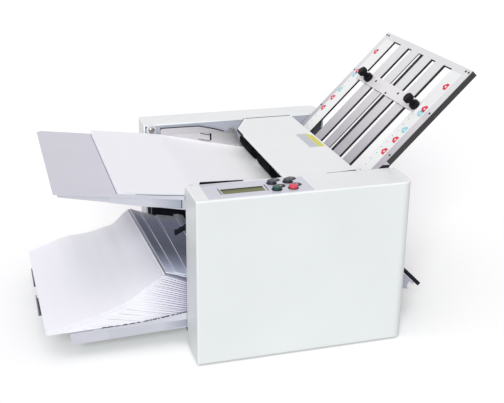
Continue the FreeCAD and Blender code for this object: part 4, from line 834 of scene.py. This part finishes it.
def display_parts():
    """Frame, window, character cells and dark lines of the display, each as a list of parts."""
    (left, right), (near, far) = DISPLAY_FRAME
    (w_left, w_right), (w_near, w_far) = DISPLAY_WINDOW
    sides = (((left, w_left), (near, far)), ((w_right, right), (near, far)),
             ((w_left, w_right), (near, w_near)), ((w_left, w_right), (w_far, far)))
    frame_parts = [brick(*side, (DISPLAY_LOW, DISPLAY_UP + 0.2)) for side in sides]
    window = [brick(*DISPLAY_WINDOW, (DISPLAY_LOW, DISPLAY_UP - 0.9))]
    pitch = (w_right - w_left - 6.0) / CELLS[0]
    cells = []
    for column, row in np.ndindex(CELLS):
        x = w_left + CELL_CORNER[0] + column * pitch
        y = w_near + CELL_CORNER[1] + row * LINE_PITCH
        cells.append(brick((x, x + pitch * 0.78), (y, y + CELL_HIGH),
                           (DISPLAY_UP - 0.92, DISPLAY_UP - 0.86)))
    lines = [brick(ends, (near + 0.6, far - 0.6), (DISPLAY_UP, DISPLAY_UP + 0.32))
             for ends in ((left + 0.1, left + 1.4), (right - 1.4, right - 0.1))]
    lines.append(brick((w_left, w_right), (w_far - 0.5, w_far),
                       (DISPLAY_UP - 0.9, DISPLAY_UP + 0.22)))
    return frame_parts, window, cells, lines


def button_parts(name):
    """The dark ring round a button, the dark disc beside it and the pale signs on the disc."""
    middle = np.array(BUTTONS[name])
    ring = ((6.4, -0.3), (7.3, -0.3), (7.3, 0.3), (7.0, 0.8), (6.6, 0.8), (6.4, 0.5))
    disc = ((0.3, 0.0), (6.6, 0.0), (6.6, 0.5), (6.2, 0.7), (0.3, 0.7))
    beside = middle + SIGN_SHIFT
    return (turned_form(ring, at(*middle, PANEL_UP), UPWARDS, SIDEWAYS, capped=False),
            turned_form(disc, at(*beside, LID_TOP), UPWARDS, SIDEWAYS),
            [flat_patch(beside + SIGN_SIZE * np.array(corners), LID_TOP + 0.68, LID_TOP + 0.8)
             for corners in SYMBOLS[name]])


class FOLDER_OT_control_panel(bpy.types.Operator):
    """Build the display, the button rings and their signs, and finish the panel"""

    bl_idname = "folder.control_panel"
    bl_label = "Control panel"

    def execute(self, context):
        face = painted("panel face", (0.60, 0.60, 0.68), 0.35, 0.3)
        repaint(face, "control_panel")
        frame_parts, window, cells, lines = display_parts()
        dress("display_frame", frame_parts, face, "screen", "display")
        olive = moulded("screen olive", (0.155, 0.16, 0.045), 0.3, 0.0, 0.1)
        faint = moulded("screen cells", (0.105, 0.11, 0.03), 0.3, 0.0, 0.1)
        dark = moulded("frame lines", (0.05, 0.05, 0.06), 0.5)
        dress("display_window", window, olive, "screen")
        dress("display_cells", cells, faint, "screen")
        dress("display_lines", lines, dark, "screen")
        repaint(moulded("board green", (0.02, 0.12, 0.05), 0.4), "control_board")
        keys = moulded("dark keys", (0.035, 0.035, 0.05), 0.4, 0.02, 0.15)
        repaint(keys, "button_back", "button_next")
        repaint(moulded("green key", (0.003, 0.05, 0.04), 0.35, 0.02, 0.15), "button_start")
        repaint(moulded("red key", (0.62, 0.05, 0.09), 0.4, 0.02, 0.15), "button_stop")
        black = moulded("sign black", (0.012, 0.012, 0.016), 0.35)
        pale = moulded("sign white", (0.55, 0.56, 0.60), 0.5, 0.01)
        for name in BUTTONS:
            ring, disc, signs = button_parts(name)
            dress(name + "_ring", [ring], black, "button_dark", smooth=True)
            dress(name + "_sign", [disc], black, "button_dark", smooth=True)
            dress(name + "_symbol", signs, pale, "button_dark")
        return {"FINISHED"}


# ------------------------ feed side

EAR = (7.5, 226.9)            # the middle of the feed table's ears: along and up
EAR_SCREW_FACES = (66.7, 342.2)
GUIDE_FACE = 344.2            # the rear guide's face towards the operator
GUIDE_BACK = 345.3
CLIP_FACE = 342.8             # the face of the clip on that guide
TRAY_LIP = ((-130.0, 38.2), (-86.0, 39.0), (-52.0, 41.0), (-24.0, 44.0), (0.0, 46.9))
TRAY_LIP_FOOT = ((-130.0, 0.0), (34.0, 36.0))
# Dark nicks of painted shadow along the tray's raised edge.
SHADOW_NICKS = (-118.0, -3.0, -0.5)  # where the dark nicks start, where the last may start, and end
FLANGE_RISE = ((-165.0, 0.3), (-130.0, 1.8), (-86.0, 3.4), (-34.0, 3.2), (-1.9, 3.9))
FLANGE_DEPTH = ((-100.0, 9.1), (-65.0, 11.9), (-47.6, 13.0), (-5.6, 13.6))
FLANGE_FOOT = (-1.8, -13.6)   # the panel's upper and lower edge at the right, from the table's face
FLANGE_BACK = 62.18           # the table's front flange, just behind its new faces


def ear_domes():
    """Polished domes on the two screws that carry the feed table."""
    profile = ((4.9, 0.0), (4.9, 0.5), (4.5, 1.2), (3.6, 1.9), (2.3, 2.4), (0.8, 2.6))
    return [turned_form(profile, at(EAR[0], inward, EAR[1]), axis, UPWARDS, 32)
            for inward, axis in zip(EAR_SCREW_FACES, (INWARDS, -INWARDS))]


def guide_parts():
    """The rear guide's clip and tail, and the clip's dark step, and its dark end and lower edge,
    which paint the clip's shadow.
    """
    clip = upright_patch(((85.8, 217.6), (102.6, 213.6), (102.9, 202.6), (84.4, 206.9)),
                         CLIP_FACE, GUIDE_FACE)
    tail = upright_patch(((146.6, 184.2), (157.0, 181.9), (154.4, 189.5), (150.0, 204.0),
                          (147.2, 212.0)), GUIDE_FACE, GUIDE_BACK - 0.1)
    step = upright_patch(((86.4, 216.6), (101.9, 212.9), (101.9, 211.7), (86.4, 215.4)),
                         CLIP_FACE - 0.2, CLIP_FACE)
    end = upright_patch(((102.6, 214.4), (105.4, 213.7), (105.4, 203.2), (102.9, 202.4)),
                        CLIP_FACE - 0.3, GUIDE_FACE)
    under = upright_patch(((84.4, 206.9), (102.9, 202.6), (102.9, 201.8), (84.4, 206.1)),
                          CLIP_FACE, GUIDE_FACE)
    return [clip, tail], [step, end, under]


def front_shadow_wedge():
    """A thin black wedge of painted shadow in the gap between the front cover and the paper."""
    return upright_patch(((19.2, 227.0), (79.0, 227.0), (79.0, 235.4), (20.4, 237.4),
                          (19.2, 236.6)), 61.35, 63.1)


def guide_shadow_gap():
    """A dark strip behind the rear guide's upper edge: painted shadow of the gap."""
    return upright_patch(((22.3, 224.0), (22.3, 228.5), (84.8, 228.1), (113.0, 221.2),
                          (127.0, 216.3), (127.0, 211.0)), GUIDE_BACK, GUIDE_BACK + 0.6)


def tray_lip():
    """The delivery tray's raised front edge: it rises towards the cover."""
    along, up = np.array(TRAY_LIP).T
    return upright_band(along, up, np.interp(along, *TRAY_LIP_FOOT), 63.05, 63.65)


def tray_nicks():
    """Short dark gaps of uneven length between the tray's raised edge and the sheets: painted
    shadow.
    """
    chance = np.random.default_rng(11)
    start, last, end = SHADOW_NICKS
    parts = []
    while start < last:
        reach = chance.uniform(2.0, 7.5)
        ends = np.array((start, min(start + reach, end)))
        low = np.interp(ends, *np.array(TRAY_LIP).T)
        parts.append(upright_band(ends, low + chance.uniform(0.35, 1.1, 2), low, 63.1, 64.6))
        start += reach + chance.uniform(0.5, 6.0)
    return parts


def table_line(along):
    """Height of the feed table's face at its left part."""
    (left, high), (right, low) = TABLE_CORNERS[:2]
    return high + (low - high) * (along - left) / (right - left)


def flange_band(along, upper, lower, near, far=FLANGE_BACK):
    """An upright band that keeps two distances from the feed table's face."""
    face = table_line(np.array(along))
    return upright_band(along, face + upper, face + lower, near, far)


def flange_parts():
    """The feed table's front edge: upturned lip, deeper panel, end strip, and strips of painted
    shadow: the slit at the right end, the gaps under the paper and the line at the stack's left
    edge.
    """
    x, rise = np.array(FLANGE_RISE).T
    lip = flange_band(x, rise, -1.6, 61.85)
    x, depth = np.array(FLANGE_DEPTH).T
    panel = flange_band(x, FLANGE_FOOT[0], -depth, 61.9)
    slit = flange_band((-5.6, -4.3), *FLANGE_FOOT, 61.9)
    strip = flange_band((-4.3, -2.9), *FLANGE_FOOT, 61.7)
    gap = flange_band((-66.0, -34.0, -1.9), (3.7, 4.1, 5.0), (3.4, 3.2, 3.6), 62.3, 63.2)
    shade = flange_band((STACK_LEFT - 0.8, STACK_LEFT + 0.3), 0.25, 0.05, 66.5, 343.0)
    return [lip, strip], [panel], [slit], [gap, shade]


def tray_panel():
    """The delivery tray's front face below its raised edge."""
    return upright_patch(((-110.0, 34.4), (0.0, 36.4), (0.0, 25.2), (-110.0, 21.8)), 63.25, 63.62)


class FOLDER_OT_feed_side(bpy.types.Operator):
    """Finish the feed table, the guides, the feed roller and the paper stack"""

    bl_idname = "folder.feed_side"
    bl_label = "Feed side"

    def execute(self, context):
        repaint(painted("tray paint", tuple(colours().trays)), "feed_table", "exit_tray")
        repaint(rolled("guide metal", (0.70, 0.68, 0.70), 0.4, "x"), "side_guides")
        repaint(moulded("roller rubber", (0.006, 0.006, 0.008), 0.85, shine=0.04),
                "feed_rollers", "exit_roller", "separator_block")
        repaint(rolled("roller steel", (0.55, 0.55, 0.57), 0.25), "feed_shaft", "fold_roller_1",
                "fold_roller_2", "fold_roller_3", "fold_roller_4")
        # The pile's paper turns darker and bluer towards the cover's left face: painted shade.
        piled = (0.95, 0.93, 0.985)
        pile_paper_painted_shade = paper("piled paper", piled, tone_along(piled, (0.64, 0.61, 0.74), -62.0, 0.0))
        dress("delivery_pile", delivery_pile(), pile_paper_painted_shade, "loose_paper", "folded_sheets", smooth=True)
        # The stack's paper turns lighter towards the lid and the feed roller: painted light.
        sheets = tuple(colours().sheets)
        flat = paper("flat paper", sheets, tone_along(sheets, (0.985, 0.98, 0.985), 40.0, 130.0))
        dress("paper_stack", stack_on_table(), flat, "paper", "feed_paper", smooth=True)
        leaning = [leaning_sheet(rear, front) for rear, front in LEANING]
        ridges = [ridge_highlight_strip(rear, front) for rear, front in (*LEANING, CREST_FOLD)]
        # The leaning sheets are painted darker and bluer towards the machine's middle: painted
        # shade.
        shade_painted_sheets = shade_painted_paper("sheltered paper")
        # A grey strip of painted shade in the crease beside the crest, and pale fold strips that
        # paint highlights along the sheets' free edges.
        crease = moulded("crease grey", (0.42, 0.42, 0.50), 0.8, 0.0)
        fold_highlight_paper = paper("fold paper", (0.94, 0.94, 0.98))
        for name, parts, material in (("leaning_sheets", leaning, shade_painted_sheets),
                                      ("crest_crease", [ridge_highlight_strip(*CREST_CREASE_SHADE, 0.7)], crease),
                                      ("sheet_folds", ridges, fold_highlight_paper)):
            dress(name, parts, material, "loose_paper", smooth=True)
        chrome = rolled("dark chrome", (0.30, 0.29, 0.28), 0.12, "z")
        dress("ear_domes", ear_domes(), chrome, "chrome", smooth=True)
        plates, dark_parts = guide_parts()
        guide = rolled("clip metal", (0.74, 0.71, 0.74), 0.4, "x")
        dress("rear_guide_clip", plates, guide, "bright_steel")
        # Black for painted shadows: beside the guide clip, in the gaps at the front cover and
        # behind the rear guide, at the tray's edge and at the table's right end.
        black = moulded("seal black", (0.008, 0.008, 0.014), 0.7, 0.02, shine=0.05)
        dress("feed_seals", dark_parts + [front_shadow_wedge(), guide_shadow_gap()], black, "black_plastic")
        tray = painted("tray lip paint", tuple(colours().trays))
        dress("tray_lip", [tray_lip()], tray, "grey_paint")
        # Dark nicks of painted shadow along the tray's edge.
        dress("tray_nicks", tray_nicks(), black, "dark_metal")
        lips, panel, slit, gaps = flange_parts()
        base = np.array(colours().trays)
        # The flange panel is painted darker towards the cover: painted shade.
        shade = painted("flange paint", base,
                        run=tone_along(base, base * (0.53, 0.57, 0.62), -50.0, -6.0))
        dress("table_lip", lips, tray, "grey_paint")
        dress("table_panel", panel, shade, "grey_paint")
        # A black slit of painted shadow at the table's right end.
        dress("table_slit", slit, black, "dark_metal")
        # Grey strips of painted shadow under the paper and at the stack's left edge.
        shadow_grey = moulded("gap grey", (0.25, 0.25, 0.31), 0.7, 0.01)
        dress("table_gaps", gaps, shadow_grey, "dark_metal")
        # The tray's front face is painted darker towards the cover: painted shade.
        lower = painted("tray panel paint", base * 0.93,
                        run=tone_along(base * 0.93, base * (0.5, 0.54, 0.6), -35.0, 0.0))
        dress("tray_panel", [tray_panel()], lower, "grey_paint")
        return {"FINISHED"}


# ------------------------ upper plate

SLOT_TOP = 10.0
SLOT_FOOT = 227.7
SLOTS = ((45.05, 68.55), (96.1, 108.5), (135.9, 149.1), (176.5, 188.9), (216.45, 239.95))
ROD_SLOT = SLOTS[2]           # the bright rod runs under this slot, beside a dark bar of painted shadow
ROD_SHADOW_BAR = (2.6, 8.6)        # the shadow bar's edges, from the slot's lower edge
ROD_SHADOW_BAR_OUT = (-1.7, -0.5)
SLOT_WALL = 1.5               # how wide a slot's dark wall is
ROD_SLOT_SHADOW_LINE, WIDE_SLOT_SHADOW_LINE, NARROW_SLOT_SHADOW_LINE = 2.6, 1.8, 0.9       # dark lines of painted shadow beside the slots
WIDE_SLOT = 20.0
PLATE_THICK = 2.2             # both sheets and the gap between them
SCALE_TOP = 12.0
SCALE_FOOT = 214.0
STRIP_OUT = (0.02, 0.2)       # heights over the plate: the strips, the ink and the middles
INK_OUT = (0.2, 0.24)
MIDDLE_OUT = (0.23, 0.27)
FRONT_SCALE = (15.0, 45.0)
REAR_SCALE = (240.0, 270.0)
TICKS = (3.0, 5.0)
MARK_SIZES = (10.8, 9.8)      # of the front and the rear scale's marks
FRONT_MARKS = {"red": (37.8, 80.4, 139.6, 162.1), "blue": (88.7, 120.8)}
REAR_MARKS = {"red": (38.6, 81.9, 141.3, 163.9), "blue": (89.7, 123.2)}
FRONT_MARK_LINE = 24.0
REAR_MARK_LINE = 266.0
STOP_DOWN = 83.7              # the stop bar's middle line
STOP_HALF = 9.7
STOP_FACE = 1.8
KNOBS = {"front_knob": 43.6, "rear_knob": 210.6}
KNOB_SEAT = 2.1


def slot_edges():
    """Dark edges inside and beside the plate's slots, as deep as the plate is thick: partly the
    sheets' cut edges, partly painted shadow, with painted shadow lines on the face and a painted
    shadow bar beside the rod.
    """
    whole = (SLOT_TOP, SLOT_FOOT)
    out = (-PLATE_THICK, 0.01)
    parts = []
    for low, high in SLOTS:
        near, far = low + SLOT_WALL * 0.15, high - SLOT_WALL
        if (low, high) == ROD_SLOT:
            shadow_line = ROD_SLOT_SHADOW_LINE
            parts.append(plate_bar(whole, tuple(low + edge for edge in ROD_SHADOW_BAR), ROD_SHADOW_BAR_OUT))
        else:
            shadow_line = WIDE_SLOT_SHADOW_LINE if high - low > WIDE_SLOT else NARROW_SLOT_SHADOW_LINE
            parts.append(plate_bar(whole, (far, high), out))
        parts.append(plate_bar(whole, (high, high + shadow_line), (0.0, 0.05)))
        parts.append(plate_bar(whole, (low, near), out))
        for start in (SLOT_TOP, SLOT_FOOT - SLOT_WALL):
            parts.append(plate_bar((start, start + SLOT_WALL), (near, far), out))
    return parts


def scale_marks(places, line, size):
    """House-shaped marks and their pale middles, as two lists of parts."""
    house = np.array(((-0.5, -0.55), (0.5, -0.55), (0.5, 0.1), (0.0, 0.6), (-0.5, 0.1))) * size
    middle = np.array(((-0.1, -0.3), (0.12, -0.3), (0.12, 0.05), (-0.1, 0.05))) * size
    return ([plate_patch(house + (down, line), *INK_OUT) for down in places],
            [plate_patch(middle + (down, line), *MIDDLE_OUT) for down in places])


def scale_ticks():
    """Short dark ticks along both scales, every other one longer."""
    return [plate_bar((down, down + 0.6), (start, start + TICKS[index % 2]), INK_OUT)
            for start in (FRONT_SCALE[0] + 18.5, REAR_SCALE[1] - 9.0)
            for index, down in enumerate(np.arange(104.0, SCALE_FOOT - 2.0, 11.0))]


def rail_foot():
    """The bracket under the front rail's foot and the bright gusset above it."""
    bracket = upright_patch(((275.4, 234.1), (281.1, 238.3), (292.5, 237.8), (290.6, 233.5)),
                            62.7, 63.1)
    gusset = upright_patch(((281.9, 238.7), (286.5, 244.2), (292.2, 238.2)), 62.6, 63.1)
    return bracket, gusset


def rear_shield():
    """The dark plate between the upper plate's rear rail and the rear cover: painted shade where
    the rear side frame lies in shadow.
    """
    return upright_patch(((274.9, 204.7), (283.4, 214.6), (294.0, 221.0), (294.0, 196.0),
                          (280.7, 190.2)), 346.0, 346.6)


def knob_form(across):
    """A grip of two knurled discs on a waist.

    Radius = profile + 0.35 * |sin(12 t)| on the discs' rims, in millimetres.
    """
    profile = ((2.4, 0.0), (6.9, 0.0), (7.1, 0.5), (7.1, 6.3), (6.6, 7.0), (4.6, 7.2), (4.6, 13.6),
               (6.6, 13.8), (7.1, 14.5), (7.1, 20.4), (6.5, 21.2), (4.2, 21.5), (3.9, 21.0),
               (0.5, 20.9))
    rims = np.isin(np.arange(len(profile)), (2, 3, 8, 9))

    def knurl(index, turn):
        return rims[index] * np.abs(np.sin(12.0 * turn)) * 0.35 * MM

    return turned_form(profile, on_plate(STOP_DOWN, across, KNOB_SEAT), PLATE_OUT, INWARDS, 96,
                       knurl)


def stop_bar_details():
    """Dark screws on the stop bar, and short dark slits of painted shadow along its lower edge."""
    screw = ((0.3, 0.0), (2.0, 0.0), (1.8, 0.6), (0.3, 0.8))
    parts = [turned_form(screw, on_plate(down, across, STOP_FACE), PLATE_OUT, INWARDS, 20)
             for down, across in ((81.7, 188.0), (90.0, 137.8), (80.9, 107.9))]
    # Slits of painted shadow under the bar's lower edge.
    edge = STOP_DOWN + STOP_HALF
    parts += [plate_bar((edge - 0.4, edge + 0.25), slit, (0.4, STOP_FACE - 0.1)) for slit in
              ((205.0, 240.0), (160.0, 192.0), (118.0, 126.0), (86.0, 100.0), (48.0, 62.0))]
    return parts


class FOLDER_OT_upper_plate(bpy.types.Operator):
    """Build the plate's slot edges, scales, marks and knobs, and finish the plate"""

    bl_idname = "folder.upper_plate"
    bl_label = "Upper fold plate"

    def execute(self, context):
        # The plate's finish is painted darker towards its foot: painted shade and reflection.
        repaint(plate_metal("plate metal"), "upper_plate_face", "upper_plate_back")
        repaint(painted("stop bar paint", (0.78, 0.745, 0.765), 0.35, 0.2), "stop_bar")
        repaint(painted("rail paint", (0.022, 0.021, 0.022), 0.45, 0.0), "upper_plate_rails",
                "plate_screws")
        repaint(polished("rod steel", (0.72, 0.72, 0.73), 0.35), "plate_rod")
        # Black for the slots' edges and painted shadows, the stop bar's screws and shadow slits,
        # and the rail bracket.
        dark = moulded("slot black", (0.008, 0.008, 0.01), 0.6)
        dress("slot_edges", slot_edges(), dark, "plate_metal")
        white = painted("scale white", (0.86, 0.86, 0.855), 0.4)
        strips = [plate_bar((SCALE_TOP, SCALE_FOOT), scale, STRIP_OUT)
                  for scale in (FRONT_SCALE, REAR_SCALE)]
        dress("scale_strips", strips, white, "plate_metal")
        inks = {"red": moulded("red ink", (0.72, 0.05, 0.09), 0.5, 0.01),
                "blue": moulded("blue ink", (0.30, 0.66, 0.74), 0.5, 0.01)}
        for name, ink in inks.items():
            front, front_middles = scale_marks(FRONT_MARKS[name], FRONT_MARK_LINE, MARK_SIZES[0])
            rear, rear_middles = scale_marks(REAR_MARKS[name], REAR_MARK_LINE, MARK_SIZES[1])
            dress(name + "_marks", front + rear, ink, "plate_metal")
            dress(name + "_mark_middles", front_middles + rear_middles, white, "plate_metal")
        grey = moulded("tick grey", (0.16, 0.16, 0.18), 0.6, 0.01)
        dress("scale_ticks", scale_ticks(), grey, "plate_metal")
        dress("stop_bar_details", stop_bar_details(), dark, "plate_metal", body="plate_stop")
        bracket, gusset = rail_foot()
        dress("rail_bracket", [bracket], dark, "dark_metal")
        dress("rail_gusset", [gusset], plate_metal("gusset metal"), "plate_metal")
        # A dark plate that paints the shade seen through the rear slot.
        rear_shade_grey = painted("shield grey", (0.075, 0.075, 0.085), 0.6, 0.0)
        dress("rear_shield", [rear_shield()], rear_shade_grey, "dark_metal")
        grip = moulded("knob black", (0.005, 0.005, 0.006), 0.4, shine=0.12)
        for body, across in KNOBS.items():
            dress(body, [knob_form(across)], grip, "black_plastic",
                  "stop_knob_" + body.split("_")[0], body=body, smooth=True)
        return {"FINISHED"}


# ------------------------ sidebar and start

PIECES = (
    ("stage", FOLDER_OT_stage),
    ("casing", FOLDER_OT_casing),
    ("control_panel", FOLDER_OT_control_panel),
    ("feed_side", FOLDER_OT_feed_side),
    ("upper_plate", FOLDER_OT_upper_plate),
)


class FOLDER_PT_sidebar(bpy.types.Panel):
    """Colours, stage settings and steps of the folding machine"""

    bl_idname = "FOLDER_PT_sidebar"
    bl_label = "Folding machine"
    bl_space_type = "VIEW_3D"
    bl_region_type = "UI"
    bl_category = "Folding machine"

    def draw(self, context):
        column = self.layout.column()
        for group in (colours(), stage_settings()):
            for key in group.bl_rna.properties.keys():
                if key not in {"rna_type", "name"}:
                    column.prop(group, key)
        for _, operator in PIECES:
            column.operator(operator.bl_idname)


CLASSES = (FoldingMachineColours, FoldingMachineStage, *(item for _, item in PIECES),
           FOLDER_PT_sidebar)


def register():
    for item in CLASSES:
        bpy.utils.register_class(item)
    bpy.types.Scene.folding_machine_colours = bpy.props.PointerProperty(
        type=FoldingMachineColours)
    bpy.types.Scene.folding_machine_stage = bpy.props.PointerProperty(type=FoldingMachineStage)


def unregister():
    del bpy.types.Scene.folding_machine_stage
    del bpy.types.Scene.folding_machine_colours
    for item in reversed(CLASSES):
        bpy.utils.unregister_class(item)


def main():
    register()
    for name, _ in PIECES:
        getattr(bpy.ops.folder, name)()


if __name__ == "__main__":
    main()
